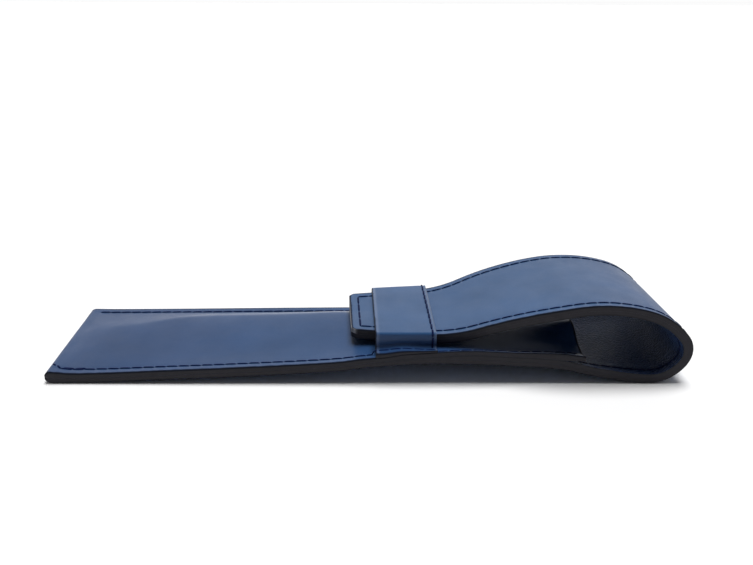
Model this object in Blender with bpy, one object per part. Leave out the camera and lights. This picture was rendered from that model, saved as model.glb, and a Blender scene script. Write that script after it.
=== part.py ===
"""Leather pen case with a tuck-in flap.

One strip of leather is folded at the closed end and sewn along both long sides into a
flat pocket.  The back layer runs on past the mouth, rolls round in a wide loop, comes
back over the front as a flap and ends in a tongue, which is tucked under a keeper band.
A lining is sewn to the inside of the flap, the loop and the mouth end of the back.

The case lies on its back: +X runs from the closed end to the loop, +Y to the far side
and +Z up.  The origin is under the middle of the whole case, on the surface it lies on.
"""

import math

import bpy
from mathutils import Vector

MM = 0.001

# Leather, lining and thread
LEATHER = 1.2 * MM
LINING = 1.2 * MM
LAYER_GAP = 0.15 * MM
THREAD_WIDTH = 0.5 * MM
THREAD_HEIGHT = 0.28 * MM
THREAD_CLEARANCE = 0.1 * MM
SEAM_INSET = 2.5 * MM
SEAM_START = 3.6 * MM
SEAM_END = 1.5 * MM
CUT_GAP = 0.3 * MM

# Pocket
CASE_WIDTH = 40.0 * MM
POCKET_LENGTH = 138.5 * MM
MOUTH_TO_LOOP = 17.3 * MM
BACK_CUT = 1.6 * MM
SEAM_MARGIN = 3.1 * MM
FOLD_HEIGHT = 3.2 * MM
FOLD_EASE = 8.0 * MM
EDGE_CURL = 0.45 * MM
CURL_WIDTH = 3.0 * MM
CURL_FADE = 9.3 * MM
NEAR_LIFT = 5.6 * MM
REST_FACE_START = -2.0 * MM
CREST_CLEARANCE = 0.45 * MM
CREST_RISE = 0.23 * MM
MOUTH_RISE = 2.46 * MM
MOUTH_FLARE = 17.0 * MM
CREST_FAR = 5.5 * MM
CREST_NEAR = -3.5 * MM
CREST_BEND = 55.0 * MM
LINING_SKIVE = 6.0 * MM
LINING_THIN = 0.3 * MM
PANEL_STEP = 6.0 * MM

# Loop and flap, as arcs that follow one another along the outer face
LOWER_BEND_RADIUS = 10.0 * MM
LOWER_BEND_TURN = math.radians(56.0)
NOSE_RADIUS = 7.0 * MM
NOSE_TURN = math.radians(72.5)
SHOULDER_RADIUS = 20.5 * MM
SHOULDER_TURN = math.radians(36.0)
CROWN_RADIUS = 44.0 * MM
CROWN_TURN = math.radians(25.5)
SLOPE_TURN = math.radians(12.0)
TUCK_RADIUS = 34.0 * MM
TONGUE_LENGTH = 19.2 * MM
ARC_STEP = 2.6 * MM
FLAT_STEP = 5.0 * MM

# Taper of the flap towards the tongue, and the tongue's cut corners
TAPER_LENGTH = 61.4 * MM
TAPER_EASE = 12.0 * MM
TAPER_SLOPE_SHARE = 0.157
CORNER_CUT = 1.9 * MM

# Where the loop gives way when the flap swings: the turn of the strip at each place
SWING_TURNS = [math.radians(42.0), math.radians(84.0), math.radians(126.0), math.radians(166.0)]
SLOPE_START_SHARE = 0.75

# Keeper band
TONGUE_SHOW = 6.4 * MM
KEEPER_WIDTH = 15.7 * MM
KEEPER_LEATHER = 1.1 * MM
KEEPER_CLEARANCE = 0.5 * MM
KEEPER_FOOT = 3.2 * MM
KEEPER_SHOULDER = 2.0 * MM
KEEPER_FOOT_BEND = 0.3 * MM
KEEPER_SKEW = 0.25 * MM
SIDE_CLEARANCE = 0.3 * MM
HEM_INSET = 1.0 * MM
STEP_LENGTH = 0.6 * MM

# How the near edge lifts off the table and how the crest of the front rises, by share
LIFT_SHARES = [
    (0.0, 0.0), (0.185, 0.14), (0.425, 0.43), (0.512, 0.62), (0.56, 0.85), (0.61, 0.98),
    (0.68, 1.0), (0.757, 0.91), (0.847, 0.73), (0.912, 0.32), (1.0, 0.0),
]
LIFT_POWER_SHARE = 1.5
CREST_RISE_SHARE = 1.3
NEAR_CROWN_SHARE = 1.5
FAR_CROWN_SHARE = 1.3
NEAR_COLUMN_SHARES = [0.25, 0.5, 0.75, 0.92]
FAR_COLUMN_SHARES = [0.1, 0.3, 0.55, 0.8]
STRIP_COLUMN_SHARES = [1.0, 0.84, 0.69, 0.3, -0.1, -0.4, -0.69, -0.84, -1.0]

FOLD_STEPS = 8
SHOULDER_STEPS = 4

# Worked-out sizes
HALF_WIDTH = CASE_WIDTH / 2
MARGIN_LINE = HALF_WIDTH - SEAM_MARGIN
SEAM_LINE = HALF_WIDTH - SEAM_INSET
TWO_LAYERS = 2 * LEATHER + LAYER_GAP
STRIP_THICKNESS = LEATHER + LAYER_GAP + LINING
THREE_LAYERS = TWO_LAYERS + LAYER_GAP + LINING
THREAD_LEVEL = THREAD_CLEARANCE + THREAD_HEIGHT / 2
BACK_LENGTH = POCKET_LENGTH + MOUTH_TO_LOOP
BACK_CUT_LENGTH = MOUTH_TO_LOOP - BACK_CUT

# Under the tongue the front's crest clears the sewn near edge, where that is lifted most
MARGIN_SHARE = (REST_FACE_START + MARGIN_LINE) / (REST_FACE_START + HALF_WIDTH)
NEAR_EDGE_LIFT = NEAR_LIFT * MARGIN_SHARE ** LIFT_POWER_SHARE
TONGUE_CREST = THREE_LAYERS + NEAR_EDGE_LIFT + CREST_RISE
TONGUE_TOP = TONGUE_CREST + CREST_CLEARANCE + STRIP_THICKNESS
MOUTH_CREST = TONGUE_CREST + MOUTH_RISE

# How far the strip has turned where each arc of the loop begins
NOSE_START_TURN = LOWER_BEND_TURN
SHOULDER_START_TURN = NOSE_START_TURN + NOSE_TURN
CROWN_START_TURN = SHOULDER_START_TURN + SHOULDER_TURN
SLOPE_START_TURN = CROWN_START_TURN + CROWN_TURN
TUCK_START_TURN = SLOPE_START_TURN + SLOPE_TURN
TUCK_TURN = TUCK_START_TURN - math.pi


def arc_rise(radius, start, end):
    """Height that an arc gains while the strip turns from start to end."""
    return radius * (math.cos(start) - math.cos(end))


# The slope's radius is what brings the flap down to the tongue's level
SLOPE_TOP = (
    arc_rise(LOWER_BEND_RADIUS, 0.0, NOSE_START_TURN)
    + arc_rise(NOSE_RADIUS, NOSE_START_TURN, SHOULDER_START_TURN)
    + arc_rise(SHOULDER_RADIUS, SHOULDER_START_TURN, CROWN_START_TURN)
    + arc_rise(CROWN_RADIUS, CROWN_START_TURN, SLOPE_START_TURN)
)
TUCK_TOP = TONGUE_TOP + arc_rise(TUCK_RADIUS, 0.0, TUCK_TURN)
SLOPE_RADIUS = (TUCK_TOP - SLOPE_TOP) / arc_rise(1.0, SLOPE_START_TURN, TUCK_START_TURN)
LOOP_ARCS = [
    (LOWER_BEND_RADIUS, LOWER_BEND_TURN),
    (NOSE_RADIUS, NOSE_TURN),
    (SHOULDER_RADIUS, SHOULDER_TURN),
    (CROWN_RADIUS, CROWN_TURN),
    (SLOPE_RADIUS, SLOPE_TURN),
    (TUCK_RADIUS, -TUCK_TURN),
]

COLOURS = {
    "blue_leather": ((0.032, 0.068, 0.160, 1.0), 0.46),
    "lining_leather": ((0.010, 0.013, 0.035, 1.0), 0.60),
    "thread": ((0.006, 0.014, 0.075, 1.0), 0.55),
}


# Small helpers

def smooth(share):
    """Ease from 0 to 1 with level ends."""
    share = min(max(share, 0.0), 1.0)
    return share * share * (3 - 2 * share)


def along_table(table, share):
    """Read a table of (place, value) shares, eased between its points."""
    for (place_a, value_a), (place_b, value_b) in zip(table, table[1:]):
        if share <= place_b:
            part = max(share - place_a, 0.0) / (place_b - place_a)
            return value_a + (value_b - value_a) * smooth(part)
    return table[-1][1]


def stations(marks, step):
    """Places from the first mark to the last, about step apart, with one at every mark."""
    places = [marks[0]]
    for start, end in zip(marks, marks[1:]):
        count = max(1, round(abs(end - start) / step))
        places += [start + (end - start) * i / count for i in range(1, count + 1)]
    return places


# The path of the loop's outer face, by distance from the end of the flat back

def path_at(distance):
    """Return x, z and heading of the strip's outer face at a distance along the loop."""
    x, z, heading = BACK_LENGTH, 0.0, 0.0
    if distance <= 0:
        return x + distance, z, heading
    left = distance
    for radius, turn in LOOP_ARCS:
        bend = math.copysign(radius, turn)
        run = min(left, radius * abs(turn))
        turned = run / bend
        x += bend * (math.sin(heading + turned) - math.sin(heading))
        z -= bend * (math.cos(heading + turned) - math.cos(heading))
        heading += turned
        left -= run
        if left <= 0:
            return x, z, heading
    return x + left * math.cos(heading), z + left * math.sin(heading), heading


def distance_at_turn(wanted):
    """Return the distance along the loop at which the strip has turned by an angle."""
    distance = 0.0
    for radius, turn in LOOP_ARCS:
        if wanted <= turn:
            return distance + radius * wanted
        distance += radius * turn
        wanted -= turn
    return distance


TUCK_END = sum(radius * abs(turn) for radius, turn in LOOP_ARCS)
STRIP_END = TUCK_END + TONGUE_LENGTH
TUCK_START = TUCK_END - TUCK_RADIUS * TUCK_TURN
SWING_CUTS = [distance_at_turn(turn) for turn in SWING_TURNS]
SLOPE_START = distance_at_turn(math.pi + SLOPE_TURN * SLOPE_START_SHARE)
NOSE_END = path_at(distance_at_turn(math.pi / 2))[0]
CENTRE = (NOSE_END + THREAD_CLEARANCE + THREAD_HEIGHT) / 2
TAPER_START = STRIP_END - TAPER_LENGTH
TONGUE_TIP = path_at(STRIP_END)[0]
KEEPER_START = TONGUE_TIP + TONGUE_SHOW
KEEPER_END = KEEPER_START + KEEPER_WIDTH
LINING_START = (KEEPER_START + KEEPER_END) / 2


# The strip's own shape: lifts, widths and levels

def seam_stack(x):
    """Thickness of the sewn layers at a place along the pocket."""
    entry = smooth((x - LINING_START + LINING_SKIVE) / LINING_SKIVE)
    return TWO_LAYERS + (LAYER_GAP + lining_thickness(x)) * entry


def lining_thickness(x):
    """The lining is pared thin where it begins inside the pocket."""
    pared = smooth((x - LINING_START) / LINING_SKIVE)
    return LINING_THIN + (LINING - LINING_THIN) * pared


def back_level(x, y):
    """Height of the outer face of the back above the table."""
    near = max(0.0, (REST_FACE_START - y) / (REST_FACE_START + HALF_WIDTH))
    lift = NEAR_LIFT * along_table(LIFT_SHARES, x / BACK_LENGTH) * near ** LIFT_POWER_SHARE
    curl = EDGE_CURL * smooth((abs(y) - MARGIN_LINE + CURL_WIDTH) / CURL_WIDTH)
    fade = 1 - smooth((x - BACK_LENGTH) / CURL_FADE)
    return max(lift, curl * fade)


def crest_side(x):
    """Place of the front's crest across the case."""
    share = max(0.0, (x - CREST_BEND) / (POCKET_LENGTH - CREST_BEND))
    return CREST_FAR + (CREST_NEAR - CREST_FAR) * share


def crest_level(x):
    """Height of the front's crest: a long rise, level under the tongue, flared at the mouth."""
    rise = 1 - max(0.0, 1 - x / TONGUE_TIP) ** CREST_RISE_SHARE
    start = seam_stack(0.0) + EDGE_CURL
    flare = smooth((x - POCKET_LENGTH + MOUTH_FLARE) / MOUTH_FLARE)
    return start + (TONGUE_CREST - start) * rise + (MOUTH_CREST - TONGUE_CREST) * flare


def front_level(x, y):
    """Height of the outer face of the front."""
    puff = (FOLD_HEIGHT - TWO_LAYERS) * (1 - smooth(x / FOLD_EASE))
    stack = seam_stack(x) + puff
    if abs(y) >= MARGIN_LINE:
        return back_level(x, y) + stack
    crest = crest_side(x)
    if y < crest:
        foot = back_level(x, -MARGIN_LINE) + stack
        share = (y + MARGIN_LINE) / (crest + MARGIN_LINE)
        power = NEAR_CROWN_SHARE
    else:
        foot = back_level(x, MARGIN_LINE) + stack
        share = (MARGIN_LINE - y) / (MARGIN_LINE - crest)
        power = FAR_CROWN_SHARE
    height = max(crest_level(x), foot)
    return foot + (height - foot) * (1 - (1 - share) ** power)


def half_width_at(distance):
    """Half the strip's width: full on the loop, tapering to the tongue."""
    past = max(0.0, distance - TAPER_START)
    eased = min(past, TAPER_EASE)
    taper = TAPER_SLOPE_SHARE * (past - eased + eased * eased / TAPER_EASE / 2)
    corner = max(0.0, distance - (STRIP_END - CORNER_CUT))
    return HALF_WIDTH - taper - corner


def strip_point(distance, y, depth):
    """A point of the strip: depth is measured in from its outer face."""
    x, z, heading = path_at(distance)
    if distance < CURL_FADE:
        z += back_level(x, y)
    return Vector((x - depth * math.sin(heading), y, z + depth * math.cos(heading)))


# Mesh building

def make_object(name, material, corners, faces, pivot):
    """Make a closed mesh object; its origin is the pivot's."""
    mesh = bpy.data.meshes.new(name)
    origin = Vector(PIVOTS[pivot])
    shift = Vector((CENTRE, 0.0, 0.0)) + origin
    mesh.from_pydata([point - shift for point in corners], [], faces)
    mesh.materials.append(MATERIALS[material])
    item = bpy.data.objects.new(name, mesh)
    bpy.context.scene.collection.objects.link(item)
    item.parent = HOLDERS[pivot]
    return item


def thick_sheet(name, material, outer, inner, pivot):
    """Close two grids of points, outer and inner face, into one solid."""
    rows, columns = len(outer), len(outer[0])
    corners = [point for row in outer for point in row]
    corners += [point for row in inner for point in row]
    offset = rows * columns
    faces = []

    def index(row, column, side):
        return side * offset + row * columns + column

    for row in range(rows - 1):
        for column in range(columns - 1):
            ring = [(row, column), (row + 1, column), (row + 1, column + 1), (row, column + 1)]
            faces.append([index(i, j, 0) for i, j in ring])
            faces.append([index(i, j, 1) for i, j in reversed(ring)])
        for column, flip in ((0, False), (columns - 1, True)):
            wall = [index(row, column, 0), index(row, column, 1)]
            wall += [index(row + 1, column, 1), index(row + 1, column, 0)]
            faces.append(wall[::-1] if flip else wall)
    for row, flip in ((0, True), (rows - 1, False)):
        for column in range(columns - 1):
            wall = [index(row, column, 0), index(row, column, 1)]
            wall += [index(row, column + 1, 1), index(row, column + 1, 0)]
            faces.append(wall[::-1] if flip else wall)
    return make_object(name, material, corners, faces, pivot)


def thread_tube(name, centres, normals, pivot):
    """A flat thread along its centres; normals point away from the leather."""
    corners, faces = [], []
    last = len(centres) - 1
    for i, (centre, normal) in enumerate(zip(centres, normals)):
        ahead = centres[min(i + 1, last)] - centres[max(i - 1, 0)]
        across = ahead.cross(normal).normalized() * THREAD_WIDTH / 2
        up = across.cross(ahead).normalized() * THREAD_HEIGHT / 2
        corners += [centre + across + up, centre - across + up]
        corners += [centre - across - up, centre + across - up]
    for i in range(last):
        for side in range(4):
            beside = (side + 1) % 4
            faces.append([4 * i + side, 4 * i + 4 + side, 4 * i + 4 + beside, 4 * i + beside])
    faces.append([0, 1, 2, 3])
    faces.append([4 * last + 3, 4 * last + 2, 4 * last + 1, 4 * last])
    return make_object(name, "thread", corners, faces, pivot)


# Pocket pieces

def back_places():
    """Places along the back, from the fold to the cut where the loop begins."""
    marks = [FOLD_HEIGHT / 2, SEAM_START, KEEPER_START, KEEPER_END]
    marks += [LINING_START, LINING_START + LINING_SKIVE, POCKET_LENGTH - SEAM_END, POCKET_LENGTH]
    end = BACK_LENGTH - BACK_CUT_LENGTH
    return stations([*sorted(marks), end - CUT_GAP, end], PANEL_STEP)


def front_places():
    """The same places along the front, as far as the mouth."""
    return [place for place in back_places() if place <= POCKET_LENGTH]


def pocket_columns(x):
    """Places across the pocket: margins, and more places near the crest."""
    crest = crest_side(x)
    middle = HALF_WIDTH - SEAM_MARGIN / 2
    near = [crest - (crest + MARGIN_LINE) * (1 - share) for share in NEAR_COLUMN_SHARES]
    far = [crest + (MARGIN_LINE - crest) * share for share in FAR_COLUMN_SHARES]
    return [-HALF_WIDTH, -middle, -MARGIN_LINE, *near, crest, *far, MARGIN_LINE, middle, HALF_WIDTH]


def make_case_leather():
    """Back and front in one folded sheet, open at the mouth."""
    outer, inner = [], []
    fold = FOLD_HEIGHT / 2
    for x in reversed(back_places()):
        columns = pocket_columns(x)
        outer.append([Vector((x, y, back_level(x, y))) for y in columns])
        inner.append([Vector((x, y, back_level(x, y) + LEATHER)) for y in columns])
    columns = pocket_columns(fold)
    for step in range(1, FOLD_STEPS):
        angle = math.pi * step / FOLD_STEPS
        rows = []
        for depth in (0.0, LEATHER):
            row = []
            for y in columns:
                low = back_level(fold, y)
                radius = (front_level(fold, y) - low) / 2 - depth
                reach = fold - depth
                centre = (front_level(fold, y) + low) / 2
                row.append(Vector((fold - reach * math.sin(angle), y, centre - radius * math.cos(angle))))
            rows.append(row)
        outer.append(rows[0])
        inner.append(rows[1])
    for x in front_places():
        columns = pocket_columns(x)
        outer.append([Vector((x, y, front_level(x, y))) for y in columns])
        inner.append([Vector((x, y, front_level(x, y) - LEATHER)) for y in columns])
    thick_sheet("outer_leather_case", "blue_leather", outer, inner, "case")


def make_case_lining():
    """The part of the lining that lies on the back, inside the pocket."""
    lower, upper = [], []
    for x in [place for place in back_places() if place >= LINING_START]:
        floor = [Vector((x, y, back_level(x, y) + LEATHER + LAYER_GAP)) for y in pocket_columns(x)]
        rise = Vector((0.0, 0.0, lining_thickness(x)))
        lower.append(floor)
        upper.append([point + rise for point in floor])
    thick_sheet("lining_case", "lining_leather", upper, lower, "case")


def keeper_profile(x, depth):
    """Outline of the keeper across the case; its far shoulder bends over the tongue's side."""
    wall = HALF_WIDTH - KEEPER_FOOT
    top = TONGUE_TOP + KEEPER_CLEARANCE + KEEPER_LEATHER - depth
    tongue_side = half_width_at(STRIP_END - (x - TONGUE_TIP)) + SIDE_CLEARANCE
    shoulders = {-1: KEEPER_SHOULDER, 1: max(KEEPER_SHOULDER, wall - tongue_side)}
    outline = []
    over = LAYER_GAP + KEEPER_LEATHER - depth
    heel = wall + KEEPER_FOOT_BEND - depth
    for side in (-1, 1):
        edge = front_level(x, side * HALF_WIDTH) + over
        foot = front_level(x, side * heel) + over
        half = [(side * HALF_WIDTH, edge), (side * heel, foot)]
        half.append((side * (wall - depth), foot + KEEPER_FOOT_BEND))
        turn = shoulders[side] - depth
        for step in range(SHOULDER_STEPS + 1):
            angle = math.pi / 2 * step / SHOULDER_STEPS
            y = wall - shoulders[side] + turn * math.cos(angle)
            half.append((side * y, top - turn + turn * math.sin(angle)))
        outline += half if side < 0 else half[::-1]
    return [Vector((x - KEEPER_SKEW * y / HALF_WIDTH, y, z)) for y, z in outline]


def make_keeper():
    """The keeper band, sewn down at both feet and hemmed on the mouth side."""
    places = [place for place in front_places() if KEEPER_START <= place <= KEEPER_END]
    outer = [keeper_profile(x, 0.0) for x in places]
    inner = [keeper_profile(x, KEEPER_LEATHER) for x in places]
    thick_sheet("keeper_band", "blue_leather", outer, inner, "case")


def make_keeper_hem():
    """The line of stitches along the keeper's mouth side."""
    x = KEEPER_END - HEM_INSET
    surface = keeper_profile(x, 0.0)[2:-2]
    raised = keeper_profile(x, -THREAD_LEVEL)[2:-2]
    normals = [(high - low).normalized() for high, low in zip(raised, surface)]
    thread_tube("keeper_hem_thread", raised, normals, "case")


def front_thread_level(x, y):
    """Surface under the front's stitches: the front, and the keeper's foot over it."""
    foot = LAYER_GAP + KEEPER_LEATHER
    rise = smooth((x - KEEPER_START + STEP_LENGTH * 2) / STEP_LENGTH)
    fall = smooth((KEEPER_END + STEP_LENGTH * 2 - x) / STEP_LENGTH)
    return front_level(x, y) + foot * min(rise, fall)


def make_pocket_threads():
    """Needle thread on the back and looper thread on the front, along both sides."""
    up = Vector((0.0, 0.0, 1.0))
    raise_by = up * THREAD_LEVEL
    steps = [KEEPER_START - STEP_LENGTH * 2, KEEPER_START - STEP_LENGTH]
    steps += [KEEPER_END + STEP_LENGTH, KEEPER_END + STEP_LENGTH * 2]
    front = sorted(steps + [x for x in front_places()[:-1] if x >= SEAM_START])
    back = [x for x in back_places()[:-1] if x >= SEAM_START]
    for side, place in (("near", -SEAM_LINE), ("far", SEAM_LINE)):
        top = [Vector((x, place, front_thread_level(x, place))) + raise_by for x in front]
        low = [Vector((x, place, back_level(x, place))) - raise_by for x in back]
        thread_tube("front_thread_" + side, top, [up] * len(top), "case")
        thread_tube("back_thread_" + side, low, [-up] * len(low), "case")


# Loop and flap pieces

def strip_rows(places, depth):
    """Rows of points across the strip at each place along it."""
    rows = []
    for distance in places:
        half = half_width_at(distance)
        rows.append([strip_point(distance, half * share, depth) for share in STRIP_COLUMN_SHARES])
    return rows


def strip_stations(start, end):
    """Places along the strip: closer on the tight bends than on the flat runs."""
    marks = [mark for mark in (0.0, TAPER_START, STRIP_END - CORNER_CUT) if start < mark < end]
    step = ARC_STEP if 0 <= end <= SWING_CUTS[-1] else FLAT_STEP
    return stations([start, *marks, end], step)


def make_strip_part(part, start, end, pivot):
    """One stretch of the strip: its leather, its lining and the stitches on both faces."""
    places = strip_stations(start, end)
    leather = (strip_rows(places, 0.0), strip_rows(places, LEATHER))
    lining = (strip_rows(places, LEATHER + LAYER_GAP), strip_rows(places, STRIP_THICKNESS))
    thick_sheet("outer_leather_" + part, "blue_leather", *leather, pivot)
    thick_sheet("lining_" + part, "lining_leather", *lining, pivot)
    if end >= STRIP_END:
        for face, route in (("outer", -THREAD_LEVEL), ("lining", STRIP_THICKNESS + THREAD_LEVEL)):
            make_tongue_thread(face, places, route, pivot)
        return
    ends = [start + CUT_GAP, *places[1:-1], end - CUT_GAP]
    for side, sign in (("near", -1), ("far", 1)):
        for face, route in (("outer", -THREAD_LEVEL), ("lining", STRIP_THICKNESS + THREAD_LEVEL)):
            centres = [seam_point(place, sign, route) for place in ends]
            normals = [strip_normal(place, route) for place in ends]
            thread_tube(face + "_thread_" + part + "_" + side, centres, normals, pivot)


def seam_point(distance, sign, depth):
    """A point of the stitch line, set in from the strip's edge."""
    return strip_point(distance, sign * (half_width_at(distance) - SEAM_INSET), depth)


def strip_normal(distance, depth):
    """Direction away from the leather on the side of the strip that depth is on."""
    heading = path_at(distance)[2]
    out = Vector((math.sin(heading), 0.0, -math.cos(heading)))
    return out if depth < 0 else -out


def make_tongue_thread(face, places, depth, pivot):
    """The stitches run up one side of the tongue, across its tip and back."""
    turn = STRIP_END - SEAM_INSET
    side = [places[0] + CUT_GAP, *[place for place in places[1:] if place < turn], turn]
    near = [seam_point(place, -1, depth) for place in side]
    far = [seam_point(place, 1, depth) for place in side]
    centres = [*near, *far[::-1]]
    normals = [strip_normal(place, depth) for place in [*side, *side[::-1]]]
    thread_tube(face + "_thread_tongue", centres, normals, pivot)


def make_strip():
    """The strip past the pocket, divided where the loop bends when the flap swings."""
    names = ["loop_base", "bend_1", "bend_2", "bend_3", "crown", "slope", "tongue"]
    holders = ["loop_base", "bend_1", "bend_2", "bend_3", "crown", "crown", "flap"]
    cuts = [-BACK_CUT_LENGTH, *SWING_CUTS, SLOPE_START, TUCK_START, STRIP_END]
    for i, (name, holder) in enumerate(zip(names, holders)):
        start = cuts[i] + (CUT_GAP if i == 0 else CUT_GAP / 2)
        end = cuts[i + 1] - (CUT_GAP / 2 if i + 1 < len(names) else 0.0)
        make_strip_part(name, start, end, holder)


# Places where the strip parts, and the holders that carry the moving pieces

def pivot_place(distance):
    """A hinge line on the outer face, in the part's own frame."""
    x, z, _ = path_at(distance)
    return (x - CENTRE, 0.0, z)


PIVOTS = {
    "case": (0.0, 0.0, 0.0),
    "loop_base": (BACK_LENGTH - CENTRE, 0.0, 0.0),
    "bend_1": pivot_place(SWING_CUTS[0]),
    "bend_2": pivot_place(SWING_CUTS[1]),
    "bend_3": pivot_place(SWING_CUTS[2]),
    "crown": pivot_place(SWING_CUTS[3]),
    "flap": pivot_place(TUCK_START),
}
CARRIERS = {
    "loop_base": "case",
    "bend_1": "loop_base",
    "bend_2": "bend_1",
    "bend_3": "bend_2",
    "crown": "bend_3",
    "flap": "crown",
}
MATERIALS = {}
HOLDERS = {}


def clear_scene():
    """Remove whatever the scene holds."""
    for item in list(bpy.data.objects):
        bpy.data.objects.remove(item, do_unlink=True)


def make_materials():
    """One Principled material for each finish."""
    for name, (colour, roughness) in COLOURS.items():
        material = bpy.data.materials.new(name)
        material.use_nodes = True
        shader = material.node_tree.nodes["Principled BSDF"]
        shader.inputs["Base Color"].default_value = colour
        shader.inputs["Roughness"].default_value = roughness
        shader.inputs["Metallic"].default_value = 0.0
        MATERIALS[name] = material


def make_holders():
    """An empty on each joint's axis, each carried by the one before it."""
    for name, place in PIVOTS.items():
        holder = bpy.data.objects.new("holder_" + name, None)
        bpy.context.scene.collection.objects.link(holder)
        carrier = CARRIERS.get(name)
        holder.location = Vector(place)
        if carrier:
            holder.parent = HOLDERS[carrier]
            holder.location -= Vector(PIVOTS[carrier])
        HOLDERS[name] = holder


def main():
    clear_scene()
    make_materials()
    make_holders()
    make_case_leather()
    make_case_lining()
    make_keeper()
    make_keeper_hem()
    make_pocket_threads()
    make_strip()
    bpy.context.view_layer.update()


main()
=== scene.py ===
"""Dress the leather pen case: soft leather, pebbled lining, painted edges and real stitches.

One sheet of leather runs from the mouth of the pocket down the front, round the fold, along
the back, round the loop and down the flap to the tongue.  It is laid as one grid, thickened,
and then parted where the loop gives way, so that every stretch moves with its own bodies.
"""

import math

import bmesh
import bpy
from mathutils import Euler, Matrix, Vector, noise
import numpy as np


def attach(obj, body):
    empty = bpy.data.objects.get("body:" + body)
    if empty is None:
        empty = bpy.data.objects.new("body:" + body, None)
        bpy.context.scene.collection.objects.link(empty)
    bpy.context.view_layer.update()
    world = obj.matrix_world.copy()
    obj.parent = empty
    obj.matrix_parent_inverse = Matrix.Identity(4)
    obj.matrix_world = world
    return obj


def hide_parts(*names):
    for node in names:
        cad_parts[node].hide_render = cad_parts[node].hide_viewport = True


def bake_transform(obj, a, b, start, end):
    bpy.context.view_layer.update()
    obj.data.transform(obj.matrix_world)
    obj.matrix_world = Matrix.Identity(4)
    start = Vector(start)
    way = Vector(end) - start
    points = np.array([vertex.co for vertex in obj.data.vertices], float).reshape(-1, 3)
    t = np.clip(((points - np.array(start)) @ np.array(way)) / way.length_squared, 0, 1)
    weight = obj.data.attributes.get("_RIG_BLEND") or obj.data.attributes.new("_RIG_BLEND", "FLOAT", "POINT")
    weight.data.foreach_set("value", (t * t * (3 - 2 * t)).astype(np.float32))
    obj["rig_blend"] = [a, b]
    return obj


bl_info = {
    "name": "Leather pen case",
    "version": (1, 0, 0),
    "blender": (4, 5, 0),
    "location": "3D View > Sidebar > Pen case",
    "description": "Builds a folded leather pen case with a tuck-in flap",
    "category": "Add Mesh",
}

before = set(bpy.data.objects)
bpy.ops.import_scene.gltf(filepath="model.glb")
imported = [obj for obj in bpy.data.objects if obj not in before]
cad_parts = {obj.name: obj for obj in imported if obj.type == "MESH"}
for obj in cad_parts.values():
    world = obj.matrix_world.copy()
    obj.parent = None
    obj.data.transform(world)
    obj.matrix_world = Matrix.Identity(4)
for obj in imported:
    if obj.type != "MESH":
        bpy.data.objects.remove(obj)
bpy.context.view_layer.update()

MM = 0.001

# Sizes that the solid model has too: layers and seams
LEATHER = 1.2 * MM
LINING = 1.2 * MM
LAYER_GAP = 0.15 * MM
THREAD_CLEARANCE = 0.1 * MM
THREAD_HEIGHT = 0.28 * MM
SEAM_INSET = 2.5 * MM
SEAM_START = 3.6 * MM
SEAM_END = 1.5 * MM

# The same: pocket
CASE_WIDTH = 40.0 * MM
POCKET_LENGTH = 138.5 * MM
MOUTH_TO_LOOP = 17.3 * MM
SEAM_MARGIN = 3.1 * MM
FOLD_HEIGHT = 3.2 * MM
FOLD_EASE = 8.0 * MM
CURL_WIDTH = 3.0 * MM
CURL_FADE = 9.3 * MM
NEAR_LIFT = 5.6 * MM
LIFT_POWER_SHARE = 1.5
REST_FACE_START = -2.0 * MM
CREST_CLEARANCE = 0.45 * MM
CREST_RISE = 0.23 * MM
LINING_SKIVE = 6.0 * MM
LINING_THIN = 0.3 * MM

# The same: loop and flap
LOWER_BEND_RADIUS = 10.0 * MM
LOWER_BEND_TURN = math.radians(56.0)
NOSE_RADIUS = 7.0 * MM
NOSE_TURN = math.radians(72.5)
SHOULDER_RADIUS = 20.5 * MM
SHOULDER_TURN = math.radians(36.0)
CROWN_RADIUS = 44.0 * MM
CROWN_TURN = math.radians(25.5)
SLOPE_TURN = math.radians(12.0)
TUCK_RADIUS = 34.0 * MM
TONGUE_LENGTH = 19.2 * MM
TAPER_LENGTH = 61.4 * MM
TAPER_EASE = 12.0 * MM
TAPER_SLOPE_SHARE = 0.157

# The same: keeper band
TONGUE_SHOW = 6.4 * MM
KEEPER_WIDTH = 15.7 * MM
KEEPER_LEATHER = 1.1 * MM
KEEPER_SKEW = 0.25 * MM
HEM_INSET = 1.0 * MM

# The dressed case alone: how its edges lift and curl
EDGE_CURL = 0.2 * MM
FAR_LIFT = 0.7 * MM
FAR_LIFT_LENGTH = 90.0 * MM
HOLLOW_BEFORE = 12.0 * MM
HOLLOW_LENGTH = 14.0 * MM
FOLD_CORNER = 0.35 * MM
FAR_PUFF_LOSS = 0.85
MOUTH_GAPE = 1.1 * MM
GAPE_LENGTH = 20.0 * MM
GAPE_INSIDE = 6.0 * MM
GAPE_EASE = 5.0 * MM
LINING_FEATHER = 20.0 * MM
MARGIN_EASE = 2.0 * MM
MOUTH_FADE = 5.0 * MM

# The dressed case alone: the front's swell beside its crest, and how sharply it turns there
CROWN_SWELL = 1.1 * MM
SWELL_GROWTH = 40.0 * MM
SINK_START = 20.0 * MM
SINK_GROWTH = 25.0 * MM
LATE_SINK = 0.6
CREST_TURN = 0.1
CREST_TURN_AT_FOLD = 0.2
CREST_TURN_FADE = 35.0 * MM

# The dressed case alone: how the loop and the tongue lie askew
LOOP_SKEW = 0.4 * MM
LOOP_TILT = 0.75 * MM
TONGUE_TILT = 0.3 * MM
TONGUE_SKEW = 0.4 * MM
TONGUE_HALF = 12.0 * MM
SKEW_FADE_START = 42.0 * MM
SKEW_FADE_LENGTH = 36.0 * MM
CORNER_CUT = 1.2 * MM

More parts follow.
